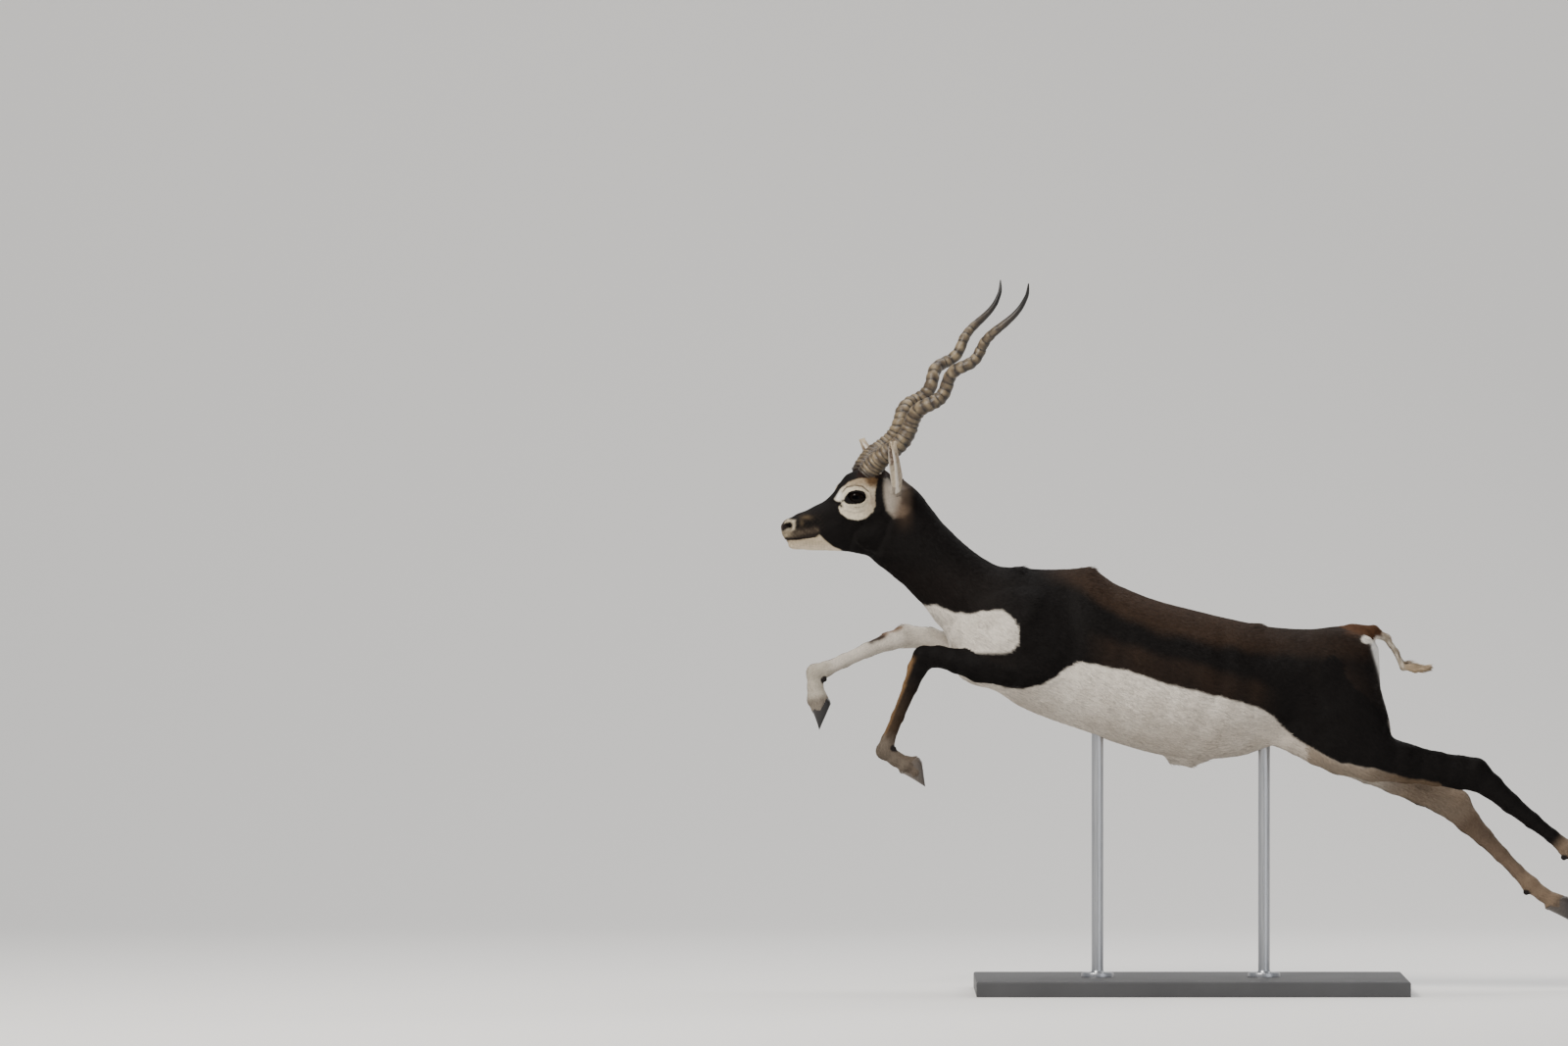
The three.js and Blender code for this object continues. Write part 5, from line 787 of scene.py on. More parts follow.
        # slit of the scent gland in front of the eye
        H = mix(H, RIM, np.exp(-(path_dist(U, W, [(852.5, 512.3), (856.5, 512.6), (858.5, 516.5)]) / 1.7) ** 2) * 0.95 * near)
        chin = inside(U, W, CHIN, 1.0)
        H = mix(H, mix(rgb(190, 174, 148), rgb(214, 198, 174), ss(552, 560, W)), chin)
        spots = ss(-0.3, 0.7, wave(P[q] * np.array([0.8, 1, 1]), 5, 21)) * ss(845, 834, U) * ss(519, 523, W) * ss(546, 540, W) * ss(810, 816, U)
        H = mix(H, rgb(60, 49, 39), 0.18 * spots)
        H = mix(H, rgb(92, 77, 57), 0.7 * np.exp(-(((U - 823) / 5.5) ** 2 + ((W - 527.5) / 2.4) ** 2)))
        H = mix(H, rgb(86, 72, 54), 0.6 * np.exp(-(((U - 818) / 2.2) ** 2 + ((W - 533) / 3.4) ** 2)))
        muz = ss(809.5, 805.5, U + 0.55 * (W - 538)) * ss(528.5, 532, W) * ss(552, 549, W)
        muz = np.maximum(muz, np.exp(-(path_dist(U, W, [(804, 530.5), (809.5, 533.5), (809.5, 539), (806, 542.5), (799, 544)]) / 1.7) ** 2))
        H = mix(H, mix(rgb(200, 186, 162), rgb(150, 134, 112), ss(538, 545, W)), muz * (B > 0))
        lipu = np.exp(-(path_dist(U, W, [(802, 545.3), (812, 544.0), (824, 542.2), (834, 540.5)]) / 3.6) ** 2) * ss(839, 833, U)
        H = mix(H, mix(rgb(112, 99, 83), rgb(66, 56, 47), np.clip(0.5 + 0.4 * wave(P[q], 8, 23) + ss(812, 826, U) * 0.5, 0, 1)), 0.8 * lipu)
        H = mix(H, rgb(172, 158, 134), 0.8 * np.exp(-(((U - 801) / 5.5) ** 2 + ((W - 545.5) / 2.6) ** 2)))
        H = mix(H, rgb(64, 54, 48), 0.85 * np.exp(-(path_dist(U, W, [(801, 548.4), (812, 548.4), (832, 546.9)]) / 0.8) ** 2))
        H = mix(H, RIM, np.exp(-((W - (549.6 - (U - 803) * 0.075)) / 0.7) ** 2) * ss(836, 830, U) * 0.85 * (U < 842))
        H = mix(H, rgb(176, 158, 134), 0.8 * np.exp(-(path_dist(U, W, [(802, 552), (812, 552), (830, 550)]) / 1.0) ** 2))
        nos = np.exp(-(path_dist(U, W, [(797.5, 538.6), (801, 536.8), (805.5, 535.2)]) / 3.3) ** 2)
        H = mix(H, RIM, np.clip(nos * 1.6, 0, 1) * ss(4, 7, B))
        H = mix(H, rgb(52, 44, 42), np.exp(-((U - 798.5) / 3.5) ** 2) * ss(544, 539, W) * ss(10, 6, B))
        brow = ss(870, 878, U) * ss(488.5, 486, W)
        H = mix(H, rgb(40, 29, 26), brow)
        keep = ss(936, 922, u[q]) * ss(600, 580, w[q])
        C[q] = mix(C[q], H, keep)
    for key, side in (("el", -1), ("er", 1)):
        m = who == CHART_ID[key]
        if not m.any(): continue
        t, v, ww, nn = ear_coords(side, a[m], b[m], c[m])
        hwid = ear_width(t); sn = math.sin(1.15)
        ang = np.arcsin(np.clip(v * sn / hwid, -1, 1)) / 1.15
        cup = EAR_CUP * (0.55 + 0.45 * np.clip(t / 0.3, 0, 1)) * (1 - 0.5 * np.maximum(t, 0))
        mid = -cup * (np.cos(ang * 1.15) - math.cos(1.15)) / (1 - math.cos(1.15))
        inner = ss(-0.6, 0.6, ww - mid)
        lead = -v * side / hwid  # toward the front edge
        ic = mix(rgb(112, 94, 82), rgb(58, 46, 40), np.exp(-((np.abs(ang) - 0.1) / 0.4) ** 2))
        ic = mix(ic, rgb(196, 184, 164), ss(0.52, 0.28, t + 0.10 * wave(P[m], 9, 35)) * 0.85)
        ic = mix(ic, rgb(184, 170, 150), 0.7 * ss(0.1, 0.6, wave(P[m] * np.array([1, 1, 0.3]), 6, 36)))
        ic = mix(ic, WHITE, np.maximum(ss(0.70, 0.9, np.abs(ang)), 0.7 * np.exp(-((ang - 0.42) / 0.07) ** 2) * ss(0.9, 0.6, t)))
        bc = mix(rgb(186, 174, 156), rgb(140, 122, 102), np.clip(0.35 + 0.5 * t + 0.4 * wave(P[m], 12, 30), 0, 1))
        bc = mix(bc, rgb(104, 88, 72), 0.5 * np.exp(-((ang - 0.1) / 0.10) ** 2) * ss(0.5, 0.2, np.abs(t - 0.4)))
        bc = mix(bc, WHITE, ss(0.82, 0.97, np.abs(ang)) * 0.85)
        ec = mix(bc, ic, inner)
        ec = mix(ec, rgb(182, 166, 142), ss(0.80, 0.92, t))
        C[m] = ec
    return np.clip(C * (1 + 0.10 * wave(P, 5, 40))[:, None], 0.002, 0.9)


# ---------------------------------------------------------------- Blender helpers
def make_mesh(name, P, faces, color=None, uv=None, smooth=True, attrs=None, normals=None):
    """faces: array (n,3) or (n,4); P in millimetres"""
    me = bpy.data.meshes.new(name)
    faces = np.asarray(faces, np.int32); n, k = faces.shape
    me.vertices.add(len(P)); me.vertices.foreach_set("co", (np.asarray(P) / 1000).astype(f4).ravel())
    me.loops.add(n * k); me.loops.foreach_set("vertex_index", faces.ravel())
    me.polygons.add(n); me.polygons.foreach_set("loop_start", np.arange(0, n * k, k, dtype=np.int32)); me.polygons.foreach_set("loop_total", np.full(n, k, np.int32))
    me.update(calc_edges=True)
    me.polygons.foreach_set("use_smooth", np.full(n, smooth))
    if color is not None:
        at = me.color_attributes.new("mark", "FLOAT_COLOR", "POINT")
        at.data.foreach_set("color", np.concatenate([color, np.ones((len(P), 1))], 1).astype(f4).ravel())
    for key, val in (attrs or {}).items():
        at = me.attributes.new(key, "FLOAT_VECTOR", "POINT"); at.data.foreach_set("vector", np.asarray(val, f4).ravel())
    if uv is not None:
        lay_ = me.uv_layers.new(name="OFBake")
        lay_.data.foreach_set("uv", np.asarray(uv, f4)[faces.ravel()].ravel() if len(uv) == len(P) else np.asarray(uv, f4).ravel())
    if normals is not None:
        me.normals_split_custom_set_from_vertices(np.asarray(normals, f4))
    ob = bpy.data.objects.new(name, me); bpy.context.scene.collection.objects.link(ob)
    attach(ob, "root")
    return ob


class Nodes:
    def __init__(s, name):
        s.mat = bpy.data.materials.new(name); s.mat.use_nodes = True
        s.t = s.mat.node_tree; s.t.nodes.clear()
        s.out = s.t.nodes.new("ShaderNodeOutputMaterial"); s.b = s.t.nodes.new("ShaderNodeBsdfPrincipled")
        s.t.links.new(s.b.outputs[0], s.out.inputs[0])

    def new(s, kind, **props):
        n = s.t.nodes.new(kind)
        for k, v in props.items(): setattr(n, k, v)
        return n

    def link(s, a, b): s.t.links.new(a, b)

    def const(s, **kw):
        for k, v in kw.items(): s.b.inputs[k.replace("_", " ")].default_value = v

    def math(s, op, a, b=None, c=None):
        n = s.new("ShaderNodeMath", operation=op)
        for i, v in enumerate((a, b, c)):
            if v is None: continue
            if isinstance(v, (int, float)): n.inputs[i].default_value = v
            else: s.link(v, n.inputs[i])
        return n.outputs[0]

    def noise(s, vec, scale, detail=3.0, rough=0.5):
        n = s.new("ShaderNodeTexNoise"); n.inputs["Scale"].default_value = scale; n.inputs["Detail"].default_value = detail; n.inputs["Roughness"].default_value = rough
        if vec is not None: s.link(vec, n.inputs["Vector"])
        return n.outputs[0]

    def ramp(s, fac, stops):
        n = s.new("ShaderNodeValToRGB"); s.link(fac, n.inputs[0])
        el = n.color_ramp.elements
        while len(el) < len(stops): el.new(0.5)
        for e, (p, col) in zip(el, stops): e.position = p; e.color = (*col, 1) if len(col) == 3 else col
        return n.outputs[0]

    def tint(s, col, fac, lo, hi):
        """colour times a factor that runs from lo to hi"""
        m = s.new("ShaderNodeMapRange"); s.link(fac, m.inputs["Value"]); m.inputs["From Min"].default_value = 0.25; m.inputs["From Max"].default_value = 0.75
        m.inputs["To Min"].default_value = lo; m.inputs["To Max"].default_value = hi
        v = s.new("ShaderNodeVectorMath", operation="SCALE"); s.link(col, v.inputs[0]); s.link(m.outputs[0], v.inputs["Scale"])
        return v.outputs[0]

    def bump(s, h, strength, dist):
        n = s.new("ShaderNodeBump"); n.inputs["Strength"].default_value = strength; n.inputs["Distance"].default_value = dist
        s.link(h, n.inputs["Height"]); s.link(n.outputs[0], s.b.inputs["Normal"])


def coat_material(name, rough, streak, bump_d):
    m = Nodes(name)
    col = m.new("ShaderNodeAttribute", attribute_name="mark").outputs["Color"]
    hair = m.new("ShaderNodeAttribute", attribute_name="hair").outputs["Vector"]
    n1 = m.noise(hair, 900, 3, 0.6)
    geo = m.new("ShaderNodeNewGeometry").outputs["Position"]
    n2 = m.noise(geo, 60, 3, 0.6)
    c = m.tint(m.tint(col, n1, 1 - streak, 1 + streak), n2, 0.9, 1.1)
    m.link(c, m.b.inputs["Base Color"])
    m.const(Roughness=rough, Specular_IOR_Level=0.10, Sheen_Weight=0.01, Sheen_Roughness=0.4)
    m.b.inputs["Sheen Tint"].default_value = (0.62, 0.5, 0.4, 1)
    m.bump(n1, 0.8, bump_d)
    return m.mat


def tuft_material():
    m = Nodes("coat_tufts")
    col = m.new("ShaderNodeAttribute", attribute_name="mark").outputs["Color"]
    geo = m.new("ShaderNodeNewGeometry").outputs["Position"]
    n2 = m.noise(geo, 220, 2, 0.6)
    m.link(m.tint(col, n2, 0.88, 1.12), m.b.inputs["Base Color"])
    m.const(Roughness=0.60, Specular_IOR_Level=0.10, Sheen_Weight=0.01, Sheen_Roughness=0.35)
    m.b.inputs["Sheen Tint"].default_value = (0.62, 0.5, 0.4, 1)
    return m.mat


# ---------------------------------------------------------------- skin
G, F = skin_field()
P, Q = surface(G, F)
del F
P = relax(P, Q, 2, 0.5)
N = quad_normals(P, Q)
P = sculpt(P, N)
hd = ss(X(940), X(920), P[:, 0]) * ss(Z(600), Z(585), P[:, 2])
P = relax(P, Q, 2, 0.35 * (1 - hd) + 0.12 * hd)
N = quad_normals(P, Q)
T, WHO = lay(P, N)
COL = mark(P, N, WHO)
hair = P / 1000 - T * (np.sum(P * T, 1, keepdims=True) / 1000) * 0.9
skin = make_mesh("skin", P, Q, COL, attrs={"hair": hair})
SKIN_MAT = coat_material("skin_hair", 0.62, 0.22, 0.0006)
skin.data.materials.append(SKIN_MAT)
FLESH = [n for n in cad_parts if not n.startswith(("eye_", "horn_", "stand_")) and "hoof" not in n]
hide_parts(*FLESH)
print("skin", len(P), len(Q))

# ---------------------------------------------------------------- coat
TRI = np.concatenate([Q[:, [0, 1, 2]], Q[:, [0, 2, 3]]])
e1, e2 = P[TRI[:, 1]] - P[TRI[:, 0]], P[TRI[:, 2]] - P[TRI[:, 0]]
AREA = 0.5 * np.linalg.norm(np.cross(e1, e2), axis=1)
TC = P[TRI].mean(1)
TU, TW = U0 + TC[:, 0] / UNIT, W0 - TC[:, 2] / UNIT
TWHO = WHO[TRI[:, 0]]
legm = np.isin(TWHO, [CHART_ID[k] for k in ("fl", "fr", "hl", "hr")])
earm = np.isin(TWHO, [CHART_ID["el"], CHART_ID["er"]])
headm = (TWHO == CHART_ID["head"])
tailm = TWHO == CHART_ID["tail"]


def size_at(p, who):
    """length, width, lift of a tuft"""
    u, w = U0 + p[:, 0] / UNIT, W0 - p[:, 2] / UNIT
    n = len(u)
    L, W, A = np.full(n, 12.0), np.full(n, 1.8), np.full(n, 0.085)
    leg = np.isin(who, [CHART_ID[k] for k in ("fl", "fr", "hl", "hr")])
    low = leg * np.clip(np.maximum(ss(1010, 950, u) * ss(640, 655, w), ss(1440, 1520, u)), 0, 1)
    L = L * (1 - 0.50 * low); W = W * (1 - 0.32 * low)
    nk = (who == CHART_ID["neck"]); A[nk] = 0.10
    hd_ = (who == CHART_ID["head"]) | (nk & (u < 935) & (w < 560))
    a, b, c = to_head(p[:, 0], p[:, 1], p[:, 2])
    hu, hw = U0 + a / UNIT, W0 - c / UNIT
    muz_ = ss(915, 830, hu)
    L = np.where(hd_, 8.0 - 4.6 * muz_, L); W = np.where(hd_, 1.15 - 0.42 * muz_, W); A = np.where(hd_, 0.10, A)
    lid = np.sqrt(((hu - EYE_AT[0]) / 17.0) ** 2 + ((hw - EYE_AT[1]) / 13.0) ** 2)
    f = np.where(hd_ & (np.abs(b) > 18), 0.55 + 0.45 * ss(0.75, 1.35, lid), 1)
    L, W = L * f, W * (0.8 + 0.2 * f)
    er = np.isin(who, [CHART_ID["el"], CHART_ID["er"]]); L[er], W[er], A[er] = 3.6, 0.7, 0.06
    tl = (who == CHART_ID["tail"]); L[tl], W[tl], A[tl] = 9, 1.0, 0.16
    ridge = np.exp(-(((u - 1104) / 9) ** 2 + ((w - 580) / 7) ** 2)) + np.exp(-(((u - 1035) / 7) ** 2 + ((w - 578) / 6) ** 2)) + np.exp(-(((u - 1277) / 7) ** 2 + ((w - 638) / 6) ** 2))
    L = L * (1 + 0.8 * ridge); A = A * (1 + 1.6 * ridge)
    # shorter and flatter behind the thigh and round the feet of the ears
    back_ = ss(-8, -2, u - np.interp(w, [648, 685, 722, 745], [1400, 1408, 1416, 1424])) * (w > 645) * (w < 760) * (u < 1440) * (who != CHART_ID["tail"])
    L = L * (1 - 0.5 * back_); A = A * (1 - 0.5 * back_)
    foot_ = np.minimum(np.linalg.norm(np.stack([a - X(907), b - 52, c - Z(497)], 1), axis=1), np.linalg.norm(np.stack([a - X(907), b + 52, c - Z(497)], 1), axis=1))
    near_ = np.maximum(ss(46, 22, foot_), ss(12, 6, np.hypot(u - 921, w - 489))) * ~er
    L = L * (1 - 0.6 * near_); A = A * (1 - 0.75 * near_)
    return L, W, A


def roots(mask, density):
    ids = np.where(mask)[0]
    want = AREA[ids] * (density[ids] if np.ndim(density) else density)
    n = RNG.poisson(want)
    t = np.repeat(ids, n)
    r1, r2 = RNG.random(len(t)), RNG.random(len(t))
    s = np.sqrt(r1); b0, b1, b2 = 1 - s, s * (1 - r2), s * r2
    tri = TRI[t]
    mixv = lambda A: A[tri[:, 0]] * b0[:, None] + A[tri[:, 1]] * b1[:, None] + A[tri[:, 2]] * b2[:, None]
    p, nn, tt = mixv(P), mixv(N), mixv(T)
    nn /= np.linalg.norm(nn, axis=1, keepdims=True); tt -= nn * np.sum(tt * nn, 1, keepdims=True); tt /= np.linalg.norm(tt, axis=1, keepdims=True) + 1e-9
    return p, nn, tt, WHO[tri[:, 0]]


def bare(p, who):
    """places where no hair grows: eye opening, nostril, lips, nose pad, dewclaws"""
    a, b, c = to_head(p[:, 0], p[:, 1], p[:, 2])
    hu, hw = U0 + a / UNIT, W0 - c / UNIT
    hd_ = (who == CHART_ID["head"])
    e = np.sqrt(((hu - EYE_AT[0]) / 12.2) ** 2 + ((hw - EYE_AT[1]) / 8.4) ** 2)
    out = hd_ & (e < 1) & (np.abs(b) > 20)
    out |= hd_ & (path_dist(hu, hw, [(797.5, 538.6), (803, 536), (806, 535)]) < 2.2)
    out |= hd_ & (hu < 801) & (np.abs(b) < 8) & (hw < 543)
    out |= hd_ & (np.abs(hw - (549.6 - (hu - 803) * 0.075)) < 0.8) & (hu < 835)
    for du, dw, s_ in DEW:
        for yy in (58, 42):
            out |= np.linalg.norm(p - pt(du, dw, s_ * yy), axis=1) < 8
    return out


PIECES = 0


def swirl(p, nn, tt, splay):
    """small turns of the lie, in locks and hair by hair"""
    bb = np.cross(nn, tt)
    yaw = splay * RNG.normal(size=len(p)) + 0.16 * wave(p, 45, 51) + 0.10 * wave(p, 14, 52)
    tt = tt * np.cos(yaw)[:, None] + bb * np.sin(yaw)[:, None]
    return tt, np.cross(nn, tt)


def tufts(name, p, nn, tt, who, L, W, A, splay=0.13, tone=0.13, color=None):
    """thin closed slivers lying along the body"""
    global PIECES
    keep = ~bare(p, who)
    p, nn, tt, who, L, W, A = p[keep], nn[keep], tt[keep], who[keep], L[keep], W[keep], A[keep]
    n = len(p)
    if not n: return
    tt, bb = swirl(p, nn, tt, splay)
    L = L * RNG.uniform(0.7, 1.25, n); W = W * RNG.uniform(0.75, 1.25, n); A = A * RNG.uniform(0.5, 1.6, n)
    if color is None:
        jump = np.abs(np.sqrt(mark(p, nn, who)) - np.sqrt(mark(p + tt * L[:, None], nn, who))).sum(1)
        L = L * (1 - 0.5 * ss(0.25, 0.8, jump))
    at = np.where(np.isin(who, [CHART_ID["el"], CHART_ID["er"]]), 0.0, 0.5)
    col = mark(p + tt * (at * L)[:, None], nn, who) if color is None else color[keep]
    shade = (1 + tone * RNG.normal(size=n)).clip(0.6, 1.5)
    root = p - nn * 0.5
    v0, v1 = root - bb * (W / 2)[:, None], root + bb * (W / 2)[:, None]
    v2 = root + tt * (0.42 * L)[:, None] + nn * (0.42 * L * A + 0.22 * W + 0.35)[:, None]
    v3 = root + tt * L[:, None] + nn * (L * A * 0.85)[:, None]
    V = np.stack([v0, v1, v2, v3], 1).reshape(-1, 3)
    r1, r2 = (0.13 * RNG.normal(size=n))[:, None], (0.10 * RNG.normal(size=n))[:, None]
    n0 = nn + bb * r1 + tt * r2
    VN = np.stack([n0 - bb * 0.35 - tt * 0.25, n0 + bb * 0.35 - tt * 0.25, n0 - tt * 0.05, n0 + tt * 0.22], 1).reshape(-1, 3)
    VN /= np.linalg.norm(VN, axis=1, keepdims=True)
    base = np.arange(n)[:, None, None] * 4
    Fc = (base + np.array([[0, 3, 2], [3, 1, 2], [1, 0, 2], [0, 1, 3]])[None]).reshape(-1, 3)
    cc = np.stack([col * (shade * 0.78)[:, None], col * (shade * 0.78)[:, None], col * shade[:, None], col * (shade * 1.10)[:, None]], 1).reshape(-1, 3)
    uv = unwrap(p, who)
    off = np.array([[-0.0013, -0.0012], [0.0013, -0.0012], [0.0001, 0.0002], [0.0, 0.0015]])
    UV = (uv[:, None, :] + off[None]).reshape(-1, 2)
    per = 47000
    for i in range(0, n, per):
        a, b = i, min(n, i + per)
        ob = make_mesh(f"{name}_{i // per}" if n > per else name, V[4 * a:4 * b], Fc[4 * a:4 * b] - 4 * a, cc[4 * a:4 * b].clip(0.001, 0.95), UV[4 * a:4 * b], normals=VN[4 * a:4 * b])
        ob.data.materials.append(TUFT_MAT); PIECES += (b - a) * 4
    print(name, n * 4)


def locks(name, p, nn, tt, who, L, W, A, droop=(0, 0, 0), splay=0.12, tone=0.15, color=None, even=None):
    """longer curved locks"""
    global PIECES
    n = len(p)
    if not n: return
    tt, bb = swirl(p, nn, tt, splay)
    L = L * RNG.uniform(0.65, 1.2, n); W = W * RNG.uniform(0.75, 1.2, n); A = A * RNG.uniform(0.6, 1.4, n)
    col = mark(p + tt * (0.4 * L)[:, None], nn, who) if color is None else color
    shade = (1 + tone * RNG.normal(size=n)).clip(0.55, 1.6)
    droop = np.array(droop, float)
    V, cc, VN = [], [], []
    root = p - nn * 0.6
    for t, wd in ((0.0, 1.0), (0.38, 0.85), (0.72, 0.5)):
        c0 = root + tt * (L * t)[:, None] + nn * (L * A * (t - 0.55 * t * t))[:, None] + droop * (L * t * t)[:, None]
        hw = (W * wd / 2)[:, None]
        V += [c0 - bb * hw, c0 + bb * hw, c0 + nn * (0.5 * hw + 0.1)]
        cc += [col * (shade * (0.8 + 0.3 * t))[:, None]] * 3
        VN += [nn - bb * 0.5, nn + bb * 0.5, nn]
    V.append(root + tt * L[:, None] + nn * (L * A * 0.45)[:, None] + droop * L[:, None]); cc.append(col * (shade * 1.15)[:, None]); VN.append(nn + tt * 0.25)
    V = np.stack(V, 1).reshape(-1, 3); cc = np.stack(cc, 1).reshape(-1, 3); VN = np.stack(VN, 1).reshape(-1, 3)
    if even is not None: VN = VN * 0.3 + np.array(even)
    VN /= np.linalg.norm(VN, axis=1, keepdims=True)
    fs = [[1, 0, 2]]
    for s in (0, 3):
        for a, b in ((0, 1), (1, 2), (2, 0)):
            fs += [[s + a, s + b, s + 3 + b], [s + a, s + 3 + b, s + 3 + a]]
    fs += [[6, 7, 9], [7, 8, 9], [8, 6, 9]]
    Fc = (np.arange(n)[:, None, None] * 10 + np.array(fs)[None]).reshape(-1, 3)
    uv = unwrap(p, who)
    off = np.array([[x * 0.0012, -0.0013 + 0.0011 * k] for k in range(3) for x in (-1, 1, 0.1)] + [[0, 0.0015]])
    UV = (uv[:, None, :] + off[None]).reshape(-1, 2)
    ob = make_mesh(name, V, Fc, cc.clip(0.001, 0.95), UV, normals=VN); ob.data.materials.append(TUFT_MAT); PIECES += len(Fc); print(name, len(Fc))


TUFT_MAT = tuft_material()
k = 1.0
dens = np.full(len(TRI), 0.16)
low = np.maximum(ss(1010, 950, TU) * ss(640, 655, TW), ss(1440, 1520, TU))
dens = np.where(legm, 0.19 + 0.32 * low, dens)
neckd = np.where((TU < 940) & (TW < 560), 0.45, 0.24)
headd = 0.70 + 0.70 * ss(880, 820, TU)
for nm, msk, dn in (("coat_trunk", (TWHO == CHART_ID["trunk"]), dens), ("coat_neck", TWHO == CHART_ID["neck"], neckd), ("coat_fore", np.isin(TWHO, [CHART_ID["fl"], CHART_ID["fr"]]), dens),
                    ("coat_hind", np.isin(TWHO, [CHART_ID["hl"], CHART_ID["hr"]]), dens), ("coat_head", headm, headd), ("coat_tail", tailm, 0.9)):
    rt_ = roots(msk, dn * k)
    L, W, A = size_at(rt_[0], rt_[3])
    tufts(nm, *rt_, L, W * (1), A)

# tail tuft and the loose hair of the tail's upper side
p, nn, tt, who = roots(tailm & (TU > 1431.5), 1.2 * k)
axis = np.array([X(1462), 0, Z(679)]) - np.array([X(1432), 0, Z(681)]); axis /= np.linalg.norm(axis)
rest = np.clip(X(1466) - p[:, 0], 4, 60)
tdir = axis + nn * 0.06; tdir /= np.linalg.norm(tdir, axis=1, keepdims=True)
locks("tail_tuft", p, nn, tdir, who, np.minimum(rest * 0.7, 22), np.full(len(p), 1.2), np.full(len(p), 0.04), splay=0.10, tone=0.10)
p, nn, tt, who = roots(tailm & (TU > 1411) & (TU < 1430), 0.55 * k)
m = nn[:, 0] + nn[:, 2] * 0.6 > 0.2
locks("tail_fringe", p[m], nn[m], tt[m], who[m], np.full(m.sum(), 8.0), np.full(m.sum(), 1.0), np.full(m.sum(), 0.30), splay=0.20)
# ears: fine short hair on both faces, none on the thin rims and the point
for key, side in (("el", -1), ("er", 1)):
    p, nn, tt, who = roots(TWHO == CHART_ID[key], 0.95 * k)
    a, b, c = to_head(p[:, 0], p[:, 1], p[:, 2]); t, v, w_, _ = ear_coords(side, a, b, c)
    edge = np.abs(np.arcsin(np.clip(v * math.sin(1.15) / ear_width(t), -1, 1))) / 1.15
    m = (edge < 0.80) & (t < 0.90) & (t > 0.07)
    L, W, A = size_at(p, who)
    tufts(f"coat_ear_{'left' if side < 0 else 'right'}", p[m], nn[m], tt[m], who[m], L[m], W[m], A[m] * 0.8)
# hair collar round the root of each horn
for side in (-1, 1):
    hp0 = np.array(from_head(*horn_point(side, np.array([0.0]))[0])); q1 = horn_point(side, np.array([-0.004, 0.006]))
    d = q1[1] - q1[0]; d /= np.linalg.norm(d); dw_ = np.array(from_head(*(PIVOT + d))) - np.array(from_head(*PIVOT))
    p, nn, tt, who = roots((TWHO == CHART_ID["head"]) & (TU > 860) & (TW < 500), 1.6 * k)
    e = p - hp0; al = e @ dw_; rr_ = np.linalg.norm(e - al[:, None] * dw_, axis=1)
    m = (np.abs(rr_ - 21.5) < 4.5) & (al > -27) & (al < -4) & (p[:, 1] * side > 2)
    g = tt * 0.35 + dw_[None] * 0.9; g -= nn * np.sum(g * nn, 1, keepdims=True) * 0.7; g /= np.linalg.norm(g, axis=1, keepdims=True) + 1e-9
    locks(f"horn_collar_{'l' if side < 0 else 'r'}", p[m], nn[m], g[m], who[m], np.full(m.sum(), 6.5), np.full(m.sum(), 0.9), np.full(m.sum(), 0.10), splay=0.2)
# longer hair where the coat breaks the outline: withers, loin, edge of the belly
tops = ((np.abs(TU - 1104) < 7) | (np.abs(TU - 1036) < 6) | (np.abs(TU - 1277) < 6)) & (np.abs(TC[:, 1]) < 22) & (TW < np.interp(TU, [1020, 1108, 1290], [584, 583, 641]))
p, nn, tt, who = roots(tops, 0.30 * k)
locks("withers_tufts", p, nn, tt, who, np.full(len(p), 15.0), np.full(len(p), 1.7), np.full(len(p), 0.40), splay=0.35)
p, nn, tt, who = roots((TWHO == CHART_ID["trunk"]) & (TW > np.interp(TU, [1010, 1100, 1200, 1226, 1300, 1350], [690, 742, 768, 770, 752, 735])) & (TU > 1010) & (TU < 1345), 0.03 * k)
locks("belly_tufts", p, nn, tt, who, np.full(len(p), 17.0), np.full(len(p), 1.8), np.full(len(p), 0.14), splay=0.25)
print("coat tris", PIECES)


# ---------------------------------------------------------------- horns, eyes, hooves
def tube(ringlist, close=True):
    R = np.array(ringlist); m, n, _ = R.shape
    V = R.reshape(-1, 3); i = np.arange(m - 1)[:, None] * n; jn = np.arange(n)[None]
    a = (i + jn).ravel(); b = (i + (jn + 1) % n).ravel()
    Qd = np.stack([a, b, b + n, a + n], 1)
    caps = []
    if close:
        V = np.concatenate([V, R[0].mean(0)[None], R[-1].mean(0)[None]])
        c0, c1 = m * n, m * n + 1
        for j in range(n):
            caps.append([c0, (j + 1) % n, j]); caps.append([c1, (m - 1) * n + j, (m - 1) * n + (j + 1) % n])
    T3 = np.concatenate([Qd[:, [0, 1, 2]], Qd[:, [0, 2, 3]], np.array(caps, int).reshape(-1, 3)])
    vol = np.sum(V[T3[:, 0]] * np.cross(V[T3[:, 1]], V[T3[:, 2]]))
    if vol < 0: T3 = T3[:, ::-1]
    return V, T3


